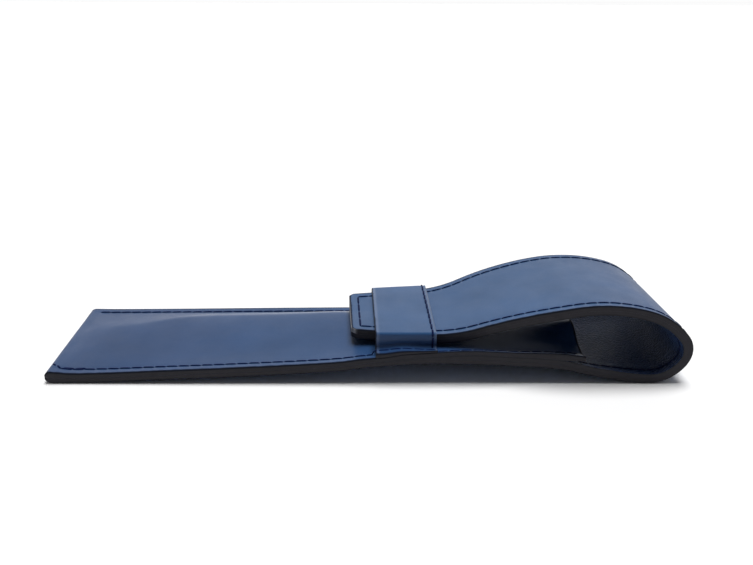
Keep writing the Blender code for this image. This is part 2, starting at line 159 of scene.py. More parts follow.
# The dressed case alone: a tight keeper with small shoulders and feet pared thin
KEEPER_CLEARANCE = 0.25 * MM
KEEPER_FOOT = 3.6 * MM
KEEPER_SHOULDER = 0.8 * MM
FOOT_FILLET = 1.0 * MM
FOOT_PARING = 0.5
WALL_BULGE = 0.18 * MM
TOP_PUSH = 0.12 * MM
HEM_DIP = 0.12 * MM
HEM_WIDTH = 0.6 * MM

# The least that is left of a layer or a radius, so that no two faces lie in one place
SLIVER = 0.01 * MM

# How much of the near edge's lift each place along the back has, by its share of the length
LIFT_SHARES = [
    (0.0, 0.0), (0.093, 0.05), (0.185, 0.165), (0.3, 0.31), (0.425, 0.5), (0.487, 0.63), (0.522, 0.77),
    (0.56, 0.87), (0.61, 0.98), (0.68, 1.0), (0.757, 0.91), (0.847, 0.73), (0.912, 0.32), (1.0, 0.0),
]

# The crest of the front, in millimetres: distance from the folded end, place across, height
CREST_LINE = [
    (0.0, 4.0, 2.8), (6.0, 4.2, 3.85), (13.0, 4.7, 4.75), (20.5, 6.2, 5.2), (28.0, 8.7, 5.4),
    (37.5, 9.8, 5.65), (46.5, 9.3, 6.1), (64.0, 8.7, 6.95), (78.0, 8.0, 7.75), (92.0, 5.2, 8.28),
    (121.5, -1.0, 8.33), (130.0, -2.3, 9.4), (138.5, -3.5, 10.79),
]

# Worked-out sizes
HALF_WIDTH = CASE_WIDTH / 2
MARGIN_LINE = HALF_WIDTH - SEAM_MARGIN
TWO_LAYERS = 2 * LEATHER + LAYER_GAP
STRIP_THICKNESS = LEATHER + LAYER_GAP + LINING
THREE_LAYERS = TWO_LAYERS + LAYER_GAP + LINING
BACK_LENGTH = POCKET_LENGTH + MOUTH_TO_LOOP
MARGIN_SHARE = (REST_FACE_START + MARGIN_LINE) / (REST_FACE_START + HALF_WIDTH)
TONGUE_CREST = THREE_LAYERS + NEAR_LIFT * MARGIN_SHARE ** LIFT_POWER_SHARE + CREST_RISE
TONGUE_TOP = TONGUE_CREST + CREST_CLEARANCE + STRIP_THICKNESS
KEEPER_TOP = TONGUE_TOP + KEEPER_CLEARANCE + KEEPER_LEATHER
KEEPER_WALL = HALF_WIDTH - KEEPER_FOOT

# The layers of the dressed case touch, so each takes its share of the gap in the solids
LEATHER_SHEET = LEATHER + LAYER_GAP / 2
LINING_SHEET = LINING + LAYER_GAP / 2

# Where the strip is parted, measured along it from the end of the flat back: the part, its
# two bodies, its start and end, and the stretch of it that bends or slides between the two
BEFORE_ALL = -1.0
AFTER_ALL = 1.0
PARTS = [
    ("loop_base", "case", "loop_base", -15.7 * MM, 2.0 * MM, -15.2 * MM, 0.6 * MM),
    ("bend_1", "loop_base", "bend_1", 2.0 * MM, 10.26 * MM, 4.4 * MM, 10.26 * MM),
    ("bend_2", "bend_1", "bend_2", 10.26 * MM, 15.76 * MM, 10.26 * MM, 15.76 * MM),
    ("bend_3", "bend_2", "bend_3", 15.76 * MM, 24.0 * MM, 15.76 * MM, 21.2 * MM),
    ("crown", "bend_3", "crown", 24.0 * MM, 46.0 * MM, 26.0 * MM, 39.5 * MM),
    ("flap", "crown", "flap", 46.0 * MM, AFTER_ALL, 50.0 * MM, 76.0 * MM),
]
CUTS = [part[3] for part in PARTS]
BLEND_MARGIN = 0.75 * MM


# The case's own shape

def smooth(share):
    """Ease from 0 to 1 with level ends."""
    share = min(max(share, 0.0), 1.0)
    return share * share * (3 - 2 * share)


def ramp(value, start, length):
    """Ease from 0 to 1 over a length that begins at a start."""
    return smooth((value - start) / length)


def bell(value, width):
    """Fall from 1 at zero towards 0 on both sides."""
    return math.exp(-((value / width) ** 2))


def along_table(table, share):
    """Read a table of (place, value) points along a smooth curve through them."""
    share = min(max(share, table[0][0]), table[-1][0])
    i = next(i for i in range(1, len(table)) if share <= table[i][0])
    (place_a, value_a), (place_b, value_b) = table[i - 1], table[i]
    slopes = [0.0, 0.0]
    if i > 1:
        slopes[0] = (value_b - table[i - 2][1]) / (place_b - table[i - 2][0])
    if i + 1 < len(table):
        slopes[1] = (table[i + 1][1] - value_a) / (table[i + 1][0] - place_a)
    run = place_b - place_a
    part = (share - place_a) / run
    rest = 1 - part
    return (value_a * rest * rest * (1 + 2 * part) + value_b * part * part * (1 + 2 * rest)
            + run * part * rest * (slopes[0] * rest - slopes[1] * part))


def loop_arcs():
    """The arcs of the loop's outer face; the slope brings the tongue down to its level."""
    turns = [LOWER_BEND_TURN, NOSE_TURN, SHOULDER_TURN, CROWN_TURN, SLOPE_TURN]
    radii = [LOWER_BEND_RADIUS, NOSE_RADIUS, SHOULDER_RADIUS, CROWN_RADIUS]
    heading = level = 0.0
    for radius, turn in zip(radii, turns):
        level += radius * (math.cos(heading) - math.cos(heading + turn))
        heading += turn
    tuck_turn = sum(turns) - math.pi
    drop = TONGUE_TOP + TUCK_RADIUS * (1 - math.cos(tuck_turn)) - level
    radii.append(drop / (math.cos(heading) - math.cos(heading + SLOPE_TURN)))
    return [*zip(radii, turns), (TUCK_RADIUS, -tuck_turn)]


LOOP_ARCS = loop_arcs()
STRIP_END = sum(radius * abs(turn) for radius, turn in LOOP_ARCS) + TONGUE_LENGTH
TAPER_START = STRIP_END - TAPER_LENGTH


def path_at(distance):
    """Return x, z and heading of the strip's outer face at a distance along the loop."""
    x, z, heading = BACK_LENGTH, 0.0, 0.0
    if distance <= 0:
        return x + distance, z, heading
    left = distance
    for radius, turn in LOOP_ARCS:
        bend = math.copysign(radius, turn)
        run = min(left, radius * abs(turn))
        turned = run / bend
        x += bend * (math.sin(heading + turned) - math.sin(heading))
        z -= bend * (math.cos(heading + turned) - math.cos(heading))
        heading += turned
        left -= run
        if left <= 0:
            return x, z, heading
    return x + left * math.cos(heading), z + left * math.sin(heading), heading


TONGUE_TIP = path_at(STRIP_END)[0]
KEEPER_START = TONGUE_TIP + TONGUE_SHOW
KEEPER_END = KEEPER_START + KEEPER_WIDTH
LINING_START = (KEEPER_START + KEEPER_END) / 2
NOSE_PLACE = LOWER_BEND_RADIUS * LOWER_BEND_TURN + NOSE_RADIUS * (math.pi / 2 - LOWER_BEND_TURN)
CENTRE = (path_at(NOSE_PLACE)[0] + THREAD_CLEARANCE + THREAD_HEIGHT) / 2


def lining_thickness(x):
    """The lining is pared thin where it begins inside the pocket."""
    return LINING_THIN + (LINING - LINING_THIN) * ramp(x, LINING_START, LINING_FEATHER)


def lining_entry(x):
    """How much of the lining is there: none at its hidden start, all from the keeper's middle on."""
    return ramp(x, LINING_START - LINING_SKIVE, LINING_SKIVE)


def seam_stack(x):
    """Thickness of the sewn layers at a place along the pocket."""
    return TWO_LAYERS + (LAYER_GAP + lining_thickness(x)) * lining_entry(x)


def back_level(x, y):
    """Height of the outer face of the back above the table.

    Its near half lifts in a curve with level ends up to the keeper, and from there on in a
    hollow; both edges curl a little, and the far edge is lifted as well.
    """
    near = max(0.0, (REST_FACE_START - y) / (REST_FACE_START + HALF_WIDTH))
    hollow = ramp(x, KEEPER_END - HOLLOW_BEFORE, HOLLOW_LENGTH)
    near = smooth(near) + (near ** LIFT_POWER_SHARE - smooth(near)) * hollow
    lift = NEAR_LIFT * along_table(LIFT_SHARES, x / BACK_LENGTH) * near
    curl = EDGE_CURL * ramp(abs(y), MARGIN_LINE - CURL_WIDTH, CURL_WIDTH)
    if y > 0:
        curl += FAR_LIFT * ramp(x, 0.0, FAR_LIFT_LENGTH) * ramp(y, HALF_WIDTH / 2, HALF_WIDTH / 2)
    return lift + curl * (1 - ramp(x, BACK_LENGTH, CURL_FADE))


def fold_puff(x, y):
    """How far the layers stand apart beside the fold, mostly on the near side."""
    far = ramp(y, -HALF_WIDTH, CASE_WIDTH)
    return (FOLD_HEIGHT - TWO_LAYERS) * (1 - ramp(x, 0.0, FOLD_EASE)) * (1 - FAR_PUFF_LOSS * far)


def mouth_gape(x, y):
    """How far the near margin of the front stands up towards the mouth."""
    near_mouth = max(0.0, 1 - (POCKET_LENGTH - x) / GAPE_LENGTH)
    return MOUTH_GAPE * near_mouth ** 2 * ramp(-y, MARGIN_LINE - GAPE_INSIDE, GAPE_EASE)


def crest_at(x):
    """Place of the front's crest across the case, and its height."""
    tables = [[(point[0], point[i]) for point in CREST_LINE] for i in (1, 2)]
    return [along_table(table, x / MM) * MM for table in tables]


def front_level(x, y):
    """Height of the outer face of the front: a crest between two sewn margins.

    It climbs straight from the far margin, turns at the crest and sinks to the near one.
    """
    stack = seam_stack(x) + fold_puff(x, y)
    gape = mouth_gape(x, y)
    if abs(y) >= MARGIN_LINE:
        return back_level(x, y) + stack + gape
    crest, top = crest_at(x)
    far_foot = back_level(x, MARGIN_LINE) + stack
    near_foot = back_level(x, -MARGIN_LINE) + stack
    top = max(top, far_foot)
    climb = far_foot + (top - far_foot) * (MARGIN_LINE - y) / (MARGIN_LINE - crest)
    part = max(0.0, (crest - y) / (crest + MARGIN_LINE))
    eased = part + (smooth(part) - part) * ramp(x, SINK_START, SINK_GROWTH)
    if near_foot > top:
        eased = ramp(part, LATE_SINK, 1 - LATE_SINK)
    swell = CROWN_SWELL * ramp(x, 0.0, SWELL_GROWTH) * part * (1 - part) ** 2
    sink = top + (near_foot - top) * eased + swell
    turn = (top - far_foot) * (CREST_TURN + CREST_TURN_AT_FOLD * (1 - ramp(x, 0.0, CREST_TURN_FADE)))
    return (climb + sink - math.hypot(climb - sink, turn)) / 2 + gape


def half_width_at(distance):
    """Half the strip's width: full on the loop, tapering to the tongue."""
    past = max(0.0, distance - TAPER_START)
    eased = min(past, TAPER_EASE)
    taper = TAPER_SLOPE_SHARE * (past - eased + eased * eased / TAPER_EASE / 2)
    return HALF_WIDTH - taper - max(0.0, distance - (STRIP_END - CORNER_CUT))


def strip_point(distance, y, depth):
    """A point of the strip: depth is measured in from its outer face.

    The loop leans askew: it stands higher and reaches further on the near side.  The tongue is
    turned a little, and its far side is raised.
    """
    x, z, heading = path_at(distance)
    if distance < CURL_FADE:
        z += back_level(x, y)
    faded = ramp(distance, SKEW_FADE_START, SKEW_FADE_LENGTH)
    askew = -y / HALF_WIDTH * smooth(distance / NOSE_PLACE) * (1 - faded)
    x += LOOP_SKEW * askew - TONGUE_SKEW * y / TONGUE_HALF * faded
    z += LOOP_TILT * askew + TONGUE_TILT * max(0.0, y) / TONGUE_HALF * faded
    return Vector((x - depth * math.sin(heading) - CENTRE, y, z + depth * math.cos(heading)))


def front_point(x, y, depth):
    """A point of the front: depth is measured down from its outer face."""
    return Vector((x - CENTRE, y, front_level(x, y) - depth))


def fold_point(angle, y, depth):
    """A point of the folded end; the angle runs from the front round to the back."""
    fold = FOLD_HEIGHT / 2
    low, high = back_level(fold, y), front_level(fold, y)
    reach = (fold - depth) * math.sin(angle)
    radius = max((high - low) / 2 - depth, SLIVER)
    return Vector((fold - reach - CENTRE, y, (high + low) / 2 + radius * math.cos(angle)))


def fold_reach(place):
    """How far a place of the outer leather lies from the folded end."""
    run, value = place
    if run == "fold":
        return FOLD_HEIGHT / 2 * (1 - math.sin(value))
    return value if run == "front" else value + BACK_LENGTH


def half_width_of(place):
    """Half the width of the outer leather: rounded corners at the fold, a taper at the tongue."""
    half = half_width_at(place[1]) if place[0] == "strip" else HALF_WIDTH
    gap = max(0.0, FOLD_CORNER - fold_reach(place))
    return half - FOLD_CORNER + math.sqrt(FOLD_CORNER ** 2 - gap ** 2)


def sheet_point(place, y, depth):
    """A point of the outer leather, whose place is (run, value) with run front, fold or strip."""
    run, value = place
    return {"front": front_point, "fold": fold_point, "strip": strip_point}[run](value, y, depth)


def hidden_point(place, y):
    """A point of the leather's hidden face, which closes on the layer below at the sewn margins."""
    run, value = place
    if run == "fold":
        reach = (FOLD_HEIGHT / 2 - LEATHER_SHEET) * math.sin(value)
        low = back_level(FOLD_HEIGHT / 2, y) + LEATHER_SHEET
        y *= HALF_WIDTH / half_width_of(place)
        return Vector((FOLD_HEIGHT / 2 - reach - CENTRE, y, low + SLIVER * math.cos(value)))
    depth = LEATHER_SHEET
    if run == "front":
        lip = ramp(value, POCKET_LENGTH - GAPE_INSIDE, GAPE_EASE)
        depth += fold_puff(value, y) + mouth_gape(value, y) * (1 - lip)
    return sheet_point(place, y, depth)


def lining_point(distance, y, rise):
    """A point of the lining's open face; rise is measured out of it, towards the open side."""
    x = BACK_LENGTH + distance
    margin = ramp(abs(y), MARGIN_LINE - MARGIN_EASE, MARGIN_EASE)
    closed = LAYER_GAP / 2 * margin * (1 - ramp(x, POCKET_LENGTH, MOUTH_FADE))
    depth = LEATHER_SHEET + (LAYER_GAP / 2 + lining_thickness(x) + closed) * lining_entry(x)
    return strip_point(distance, y, depth + rise)


# Sizes and colours that can be changed in the sidebar

def length_property(name, description, default, low, high):
    """A length in the sidebar; its numbers are given in millimetres."""
    return bpy.props.FloatProperty(name=name, description=description, default=default * MM,
                                   min=low * MM, max=high * MM, unit="LENGTH", precision=5)


def colour_property(name, description, default):
    """A colour in the sidebar."""
    return bpy.props.FloatVectorProperty(name=name, description=description, subtype="COLOR",
                                         default=default, min=0.0, max=1.0)


class PenCaseSizes(bpy.types.PropertyGroup):
    """Sizes of the visible detail."""

    stitch_thickness: length_property(
        "Stitch thickness", "Width of the sewing thread as it lies on the leather", 0.5, 0.1, 2.0)
    stitch_gap: length_property(
        "Stitch gap", "Length of leather that shows between two stitches", -0.1, -1.0, 2.0)
    groove_depth: length_property(
        "Seam depth", "How far the seam pulls the leather in", 0.07, 0.0, 0.5)
    hole_depth: length_property(
        "Needle hole depth", "How far the leather dips at each needle hole", 0.07, 0.0, 0.6)
    edge_round: length_property(
        "Edge rounding", "Radius of the burnished corners of the cut edges", 0.3, 0.05, 0.6)
    ripple: length_property(
        "Ripple", "Height of the leather's slow unevenness", 0.06, 0.0, 0.5)


class PenCaseColours(bpy.types.PropertyGroup):
    """Colours of the leather, the lining, the thread and the painted edges."""

    leather: colour_property("Leather", "Outer leather", (0.0200, 0.0520, 0.1350))
    lining: colour_property("Lining", "Pebbled lining leather", (0.0090, 0.0145, 0.0420))
    thread: colour_property("Thread", "Sewing thread", (0.0030, 0.0080, 0.0450))
    paint: colour_property("Edge paint", "Paint on the cut edges", (0.0120, 0.0110, 0.0165))


def sizes():
    """The sizes of the visible detail, as the sidebar has them now."""
    return bpy.context.scene.pen_case_sizes


# Mesh helpers

FACE_FINISH, BACK_FINISH, RIM_FINISH = range(3)
SURFACE_MAP = "Leather map"
HIDDEN_ROUND = 0.03 * MM


def deselect_all():
    """Leave object mode active with nothing selected."""
    if bpy.context.object and bpy.context.object.mode != "OBJECT":
        bpy.ops.object.mode_set(mode="OBJECT")
    bpy.ops.object.select_all(action="DESELECT")


def make_active(item):
    """Select one object alone and make it active."""
    deselect_all()
    item.select_set(True)
    bpy.context.view_layer.objects.active = item


def lay_grid(name, rows):
    """Add a flat grid and lay its vertices on rows of points."""
    deselect_all()
    bpy.ops.mesh.primitive_grid_add(x_subdivisions=len(rows[0]) - 1, y_subdivisions=len(rows) - 1,
                                    size=1.0, location=(0, 0, 0))
    grid = bpy.context.object
    grid.name = grid.data.name = name
    if len(grid.data.vertices) != len(rows) * len(rows[0]):
        raise RuntimeError(f"the grid of {name} has {len(grid.data.vertices)} corners")
    flat = [value for row in rows for point in row for value in point]
    grid.data.vertices.foreach_set("co", flat)
    while grid.data.uv_layers:
        grid.data.uv_layers.remove(grid.data.uv_layers[0])
    grid.data.update()
    return grid


def note_values(item, name, values):
    """Keep one number for each corner of the mesh."""
    attribute = item.data.attributes.new(name, "FLOAT", "POINT")
    attribute.data.foreach_set("value", values)


def thicken(item, thickness, face, hidden):
    """Give the sheet its thickness and its finishes, and lay its hidden side on its own points."""
    for name in (face, "Flesh side", "Edge paint"):
        item.data.materials.append(bpy.data.materials[name])
    count = len(item.data.vertices)
    make_active(item)
    modifier = item.modifiers.new("Solidify", "SOLIDIFY")
    modifier.thickness = thickness
    modifier.offset = -1.0
    modifier.material_offset = BACK_FINISH
    modifier.material_offset_rim = RIM_FINISH
    bpy.ops.object.modifier_apply(modifier=modifier.name)
    if len(item.data.vertices) != 2 * count or len(hidden) != count:
        raise RuntimeError(f"{item.name} has no hidden corner for each corner of its face")
    note_values(item, "rim_depth", [0.0] * count + [1.0] * count)
    for vertex, point in zip(item.data.vertices[count:], hidden):
        vertex.co = point
    item.data.update()


def lay_sheet(name, rows, spots, values, thickness, face, hidden):
    """Lay a sheet with its own map, in metres, and the numbers that its finishes read."""
    sheet = lay_grid(name, rows)
    for label, numbers in values.items():
        note_values(sheet, label, numbers)
    layer = sheet.data.uv_layers.new(name=SURFACE_MAP)
    for loop in sheet.data.loops:
        layer.data[loop.index].uv = spots[loop.vertex_index]
    thicken(sheet, thickness, face, hidden)
    return sheet


def round_rim(item, radius, segments=3):
    """Round the corner between the sheet's face and its cut edge, and ease the hidden one."""
    for side, offset, steps in ((FACE_FINISH, radius, segments), (BACK_FINISH, HIDDEN_ROUND, 1)):
        make_active(item)
        bpy.ops.object.mode_set(mode="EDIT")
        bpy.ops.mesh.select_mode(type="EDGE")
        bpy.ops.mesh.select_all(action="DESELECT")
        shape = bmesh.from_edit_mesh(item.data)
        for edge in shape.edges:
            if {face.material_index for face in edge.link_faces} == {side, RIM_FINISH}:
                edge.select_set(True)
        bmesh.update_edit_mesh(item.data)
        bpy.ops.mesh.bevel(offset=offset, segments=steps, affect="EDGES", clamp_overlap=True)
        bpy.ops.object.mode_set(mode="OBJECT")


def smooth_normals(item):
    """Shade smooth; return normals led by the larger faces, so that flat stretches shade flat."""
    make_active(item)
    bpy.ops.object.shade_smooth()
    normals = [Vector() for _ in item.data.vertices]
    for face in item.data.polygons:
        for corner in face.vertices:
            normals[corner] += face.normal * face.area
    return [normal.normalized() for normal in normals]


def finish_whole(item):
    """Round a whole sheet's edges and note its normals, so that parted pieces still match."""
    round_rim(item, sizes().edge_round)
    normals = smooth_normals(item)
    attribute = item.data.attributes.new("whole_normal", "FLOAT_VECTOR", "POINT")
    attribute.data.foreach_set("vector", [value for normal in normals for value in normal])
    return item


def part_off(whole, name, start, end):
    """Copy the stretch of the whole sheet between two places along it, and close its ends."""
    piece = whole.copy()
    piece.data = whole.data.copy()
    piece.name = piece.data.name = name
    bpy.context.scene.collection.objects.link(piece)
    shape = bmesh.new()
    shape.from_mesh(piece.data)
    along = shape.verts.layers.float["along"]
    doomed = []
    for face in shape.faces:
        middle = sum(corner[along] for corner in face.verts) / len(face.verts)
        if not start < middle < end:
            doomed.append(face)
    bmesh.ops.delete(shape, geom=doomed, context="FACES")
    open_edges = [edge for edge in shape.edges if edge.is_boundary]
    if open_edges:
        bmesh.ops.holes_fill(shape, edges=open_edges, sides=0)
    shape.to_mesh(piece.data)
    shape.free()
    mesh = piece.data
    values = [0.0] * (3 * len(mesh.vertices))
    mesh.attributes["whole_normal"].data.foreach_get("vector", values)
    normals = [values[i:i + 3] for i in range(0, len(values), 3)]
    mesh.normals_split_custom_set_from_vertices(normals)
    mesh.attributes.remove(mesh.attributes["whole_normal"])
    return piece


def hand_over(piece, part, slot, *nodes):
    """Let a piece move with the bodies it lies between, or with the case, and hide the parts of the solid
    model that it stands for; the slot is not used.
    """
    spans = [row for row in PARTS if row[0] == part]
    if spans:
        _, body_a, body_b, _, _, start, end = spans[0]
        low = strip_point(start, 0.0, STRIP_THICKNESS / 2)
        high = strip_point(end, 0.0, STRIP_THICKNESS / 2)
        margin = (high - low).normalized() * BLEND_MARGIN
        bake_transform(piece, body_a, body_b, start=low + margin, end=high - margin)
    else:
        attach(piece, "case")
    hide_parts(*nodes)


def hand_over_strip(whole, prefix, slot, replaced):
    """Part a whole sheet into the case's piece and one for each of PARTS, and hand them over."""
    stretches = [("case", BEFORE_ALL, CUTS[0]), *[(part[0], part[3], part[4]) for part in PARTS]]
    pieces = [(part, part_off(whole, prefix + part, start, end)) for part, start, end in stretches]
    bpy.data.objects.remove(whole, do_unlink=True)
    for part, piece in pieces:
        stood_for = ["slope", "tongue"] if part == "flap" else [part]
        hand_over(piece, part, slot, *[replaced + name for name in stood_for])


# Where the needle holes and the rows and columns of the sheets are

STITCHES_TO_MOUTH = 44
STITCH_PITCH = (POCKET_LENGTH - SEAM_END - SEAM_START) / STITCHES_TO_MOUTH
SHIFTED_HOLES = 10
TIP_LINE = STRIP_END - SEAM_INSET
TIP_CORNER = half_width_at(TIP_LINE) - SEAM_INSET
TIP_STITCHES = 4
TIP_HOLES = [TIP_CORNER * (2 * i / TIP_STITCHES - 1) for i in range(TIP_STITCHES + 1)]
GROOVE_WIDTH = 0.75 * MM
HOLE_WIDTH = 0.36 * MM
SEAM_REACH = 3.0 * MM
BEFORE_SEAM = 1.0 * MM
PAST_TIP_LINE = 0.5 * MM


def side_holes():
    """Distances along the strip of the needle holes on one long side, up to the tongue's corner."""
    holes = []
    place = SEAM_START - BACK_LENGTH
    while place < TIP_LINE:
        holes.append(place)
        ahead = half_width_at(place) - half_width_at(place + STITCH_PITCH)
        place += math.sqrt(STITCH_PITCH ** 2 - ahead ** 2)
    shift = (TIP_LINE - holes[-1]) / SHIFTED_HOLES
    kept, moved = holes[:-SHIFTED_HOLES], holes[-SHIFTED_HOLES:]
    return kept + [hole + shift * i for i, hole in enumerate(moved, 1)]


SIDE_HOLES = side_holes()


def seam_dip(distance, y, half):
    """How far the sewn leather dips at a place: a soft groove, deeper at the needle holes."""
    inset = half - abs(y)
    gap = abs(inset - SEAM_INSET) if distance < TIP_LINE + PAST_TIP_LINE else math.inf
    if distance > TIP_LINE - SEAM_INSET and abs(y) < TIP_CORNER:
        gap = min(gap, abs(TIP_LINE - distance))
    if gap > SEAM_REACH or distance < SEAM_START - BACK_LENGTH - BEFORE_SEAM:
        return 0.0
    dip = 0.0
    if distance <= TIP_LINE:
        nearest = min(SIDE_HOLES, key=lambda hole: abs(hole - distance))
        dip = bell(math.hypot(nearest - distance, inset - SEAM_INSET), HOLE_WIDTH)
    return sizes().groove_depth * bell(gap, GROOVE_WIDTH) + sizes().hole_depth * dip


WAVES_ALONG, WAVES_ACROSS = 55, 80
FINER_WAVES, FINER_SHARE = 2.3, 0.4
RIPPLE_SEEDS = {"strip": 1.0, "front": 4.0, "fold": 4.0, "keeper": 9.0}


def ripple(u, v, run):
    """The leather's slow unevenness."""
    spot = Vector((u * WAVES_ALONG, v * WAVES_ACROSS, RIPPLE_SEEDS[run]))
    return sizes().ripple * (noise.noise(spot) + FINER_SHARE * noise.noise(spot * FINER_WAVES))


ROW_SHIFTS = (-0.3 * MM, 0.0, 0.3 * MM, STITCH_PITCH * 0.36, STITCH_PITCH * 0.64)
CLOSEST_ROWS = 0.12 * MM
TIP_GAPS = (0.42, 0.8, 1.3, 1.8, 2.15, 2.5, 2.85, 3.4, 4.0)
LINING_FIRST_ROW = LINING_START - LINING_SKIVE + 0.5 * MM - BACK_LENGTH
STRIP_ROWS = [*CUTS, *[STRIP_END - gap * MM for gap in TIP_GAPS]]
INSETS = (0.0, 0.42, 0.8, 1.3, 1.75, 2.1, 2.5, 2.9, 3.25, 3.7, 4.4, 5.4)
MIDDLE_COLUMNS = 40
FOLD_STEPS = 14


def hole_rows(start, end, extra=()):
    """Places from start to end with rows at the needle holes and between them."""
    fixed = {start, end, *extra}
    rows = fixed | {hole + shift for hole in SIDE_HOLES for shift in ROW_SHIFTS}
    picked = []
    for place in sorted(place for place in rows if start <= place <= end):
        if place in fixed:
            while picked and place - picked[-1] < CLOSEST_ROWS and picked[-1] not in fixed:
                picked.pop()
            picked.append(place)
        elif not picked or place - picked[-1] > CLOSEST_ROWS:
            picked.append(place)
    return picked


def columns_at(half):
    """Places across the strip: close near the seams, even between them."""
    near = [-half + inset * MM for inset in INSETS]
    inner = half - INSETS[-1] * MM
    middle = [inner * (2 * i / (MIDDLE_COLUMNS + 1) - 1) for i in range(1, MIDDLE_COLUMNS + 1)]
    return [*near, *middle, *[-y for y in reversed(near)]]


# Outer leather and lining

# Where the painted light, the painted highlight along the crest, the wear at the tip and the painted shade
# round the fold begin to grow or fade, and the length that this takes
FLAP_PAINTED_LIGHT = (12.0 * MM, 42.0 * MM)
FRONT_PAINTED_LIGHT = (25.0 * MM, 40.0 * MM)
FRONT_PAINTED_LIGHT_END = (KEEPER_START, 8.0 * MM)
CREST_PAINTED_HIGHLIGHT = (12.0 * MM, 30.0 * MM)
CREST_HIGHLIGHT_STRONGER = (50.0 * MM, 20.0 * MM)
CREST_HIGHLIGHT_WEAKER = (TONGUE_TIP, 8.0 * MM)
TIP_WORN = (STRIP_END - 1.6 * MM, MM)
FOLD_PAINTED_SHADE = (0.3, 0.4)
FRONT_PAINTED_LIGHT_SHARE = 0.3
CREST_WIDTH = 0.9 * MM
CREST_GAIN, CREST_LOSS = 0.5, 1.3
RIPPLE_INSET = 4.0 * MM
MAP_GAP = 5.0 * MM


def leather_places():
    """Places of the rows of the outer leather, from the mouth round to the tongue's tip."""
    fold = FOLD_HEIGHT / 2
    front = hole_rows(fold - BACK_LENGTH, POCKET_LENGTH - BACK_LENGTH)
    places = [("front", BACK_LENGTH + place) for place in reversed(front)]
    places += [("fold", math.pi * i / FOLD_STEPS) for i in range(1, FOLD_STEPS)]
    return places + [("strip", s) for s in hole_rows(fold - BACK_LENGTH, STRIP_END, STRIP_ROWS)]


def leather_spot(run, value, y, half):
    """Distance from the nearest edge, cut to nothing round the middle of the fold to paint shade there, and
    place on the leather's map.
    """
    inset = half - abs(y)
    if run == "strip":
        return min(inset, STRIP_END - value), (value, y)
    if run == "front":
        return min(inset, POCKET_LENGTH - value), (-BACK_LENGTH - MAP_GAP - value, y)
    # Painted shade: round the middle of the fold the distance falls to nothing, so the fold takes the dark
    # burnish colour
    return inset * (1 - ramp(math.sin(value), *FOLD_PAINTED_SHADE)), (
        -BACK_LENGTH - (math.pi - value) * FOLD_HEIGHT / 2, y)


def leather_light_and_wear(run, value, y):
    """How much painted light a place gets, how much painted pale highlight it gets along the crest, and how
    much it is scuffed at the tip.
    """
    if run == "strip":
        # Painted light on the loop and flap, and scuffs at the tongue's tip
        return ramp(value, *FLAP_PAINTED_LIGHT), 0.0, ramp(value, *TIP_WORN)
    if run == "fold":
        return 0.0, 0.0, 0.0
    # Painted light on the front, growing towards the keeper and fading under it
    painted_light = FRONT_PAINTED_LIGHT_SHARE * ramp(value, *FRONT_PAINTED_LIGHT) * (1 - ramp(value, *FRONT_PAINTED_LIGHT_END))
    # Painted highlight: a pale line along the crest of the front
    painted_highlight = bell(y - crest_at(value)[0], CREST_WIDTH) * ramp(value, *CREST_PAINTED_HIGHLIGHT)
    gain, loss = ramp(value, *CREST_HIGHLIGHT_STRONGER), ramp(value, *CREST_HIGHLIGHT_WEAKER)
    return painted_light, painted_highlight * (1 + CREST_GAIN * gain - CREST_LOSS * loss), 0.0


def lay_leather():
    """Lay the whole outer leather as one grid and give it its thickness."""
    values = {"along": [], "edge_inset": [], "painted_light": [], "painted_highlight": [], "worn": []}
    rows, spots, hidden = [], [], []
    for run, value in leather_places():
        distance = value if run == "strip" else value - BACK_LENGTH
        half = half_width_of((run, value))
        row = []
        for y in columns_at(half):
            depth = ripple(value, y, run) * ramp(half - abs(y), 0.0, RIPPLE_INSET)
            if run != "fold":
                depth += seam_dip(distance, y, half)
            row.append(sheet_point((run, value), y, depth))
            hidden.append(hidden_point((run, value), y))
            inset, spot = leather_spot(run, value, y, half)
            spots.append(spot)
            along = distance if run == "strip" else BEFORE_ALL / 2
            numbers = (along, inset / MM, *leather_light_and_wear(run, value, y))
            for label, number in zip(values, numbers):
                values[label].append(number)
        rows.append(row)
    return finish_whole(lay_sheet("outer_leather_whole", rows, spots, values, LEATHER_SHEET,
                                  "Blue leather", hidden))


def lay_lining():
    """Lay the lining as one grid, from inside the pocket to the tongue's tip."""
    values = {"along": [], "edge_inset": []}
    rows, spots, hidden = [], [], []
    for distance in hole_rows(LINING_FIRST_ROW, STRIP_END, STRIP_ROWS):
        half = half_width_at(distance)
        row = []
        for y in reversed(columns_at(half)):
            dip = seam_dip(distance, y, half) if distance > POCKET_LENGTH - BACK_LENGTH else 0.0
            row.append(lining_point(distance, y, -dip))
            values["along"].append(distance)
            values["edge_inset"].append(min(half - abs(y), STRIP_END - distance) / MM)
            spots.append((distance, y))
            hidden.append(strip_point(distance, y, LEATHER_SHEET))
        rows.append(row)
    return finish_whole(lay_sheet("lining_whole", rows, spots, values, LINING_SHEET,
                                  "Pebbled lining", hidden))


class PENCASE_OT_outer_leather(bpy.types.Operator):
    """Lay the outer leather, thicken it and part it where the loop bends"""

    bl_idname = "pencase.outer_leather"
    bl_label = "Outer leather"

    def execute(self, context):
        hand_over_strip(lay_leather(), "leather_", "blue_leather", "outer_leather_")
        return {"FINISHED"}


class PENCASE_OT_lining(bpy.types.Operator):
    """Lay the pebbled lining, thicken it and part it where the loop bends"""

    bl_idname = "pencase.lining"
    bl_label = "Lining"

    def execute(self, context):
        hand_over_strip(lay_lining(), "lining_leather_", "lining_leather", "lining_")
        return {"FINISHED"}


# Stitches

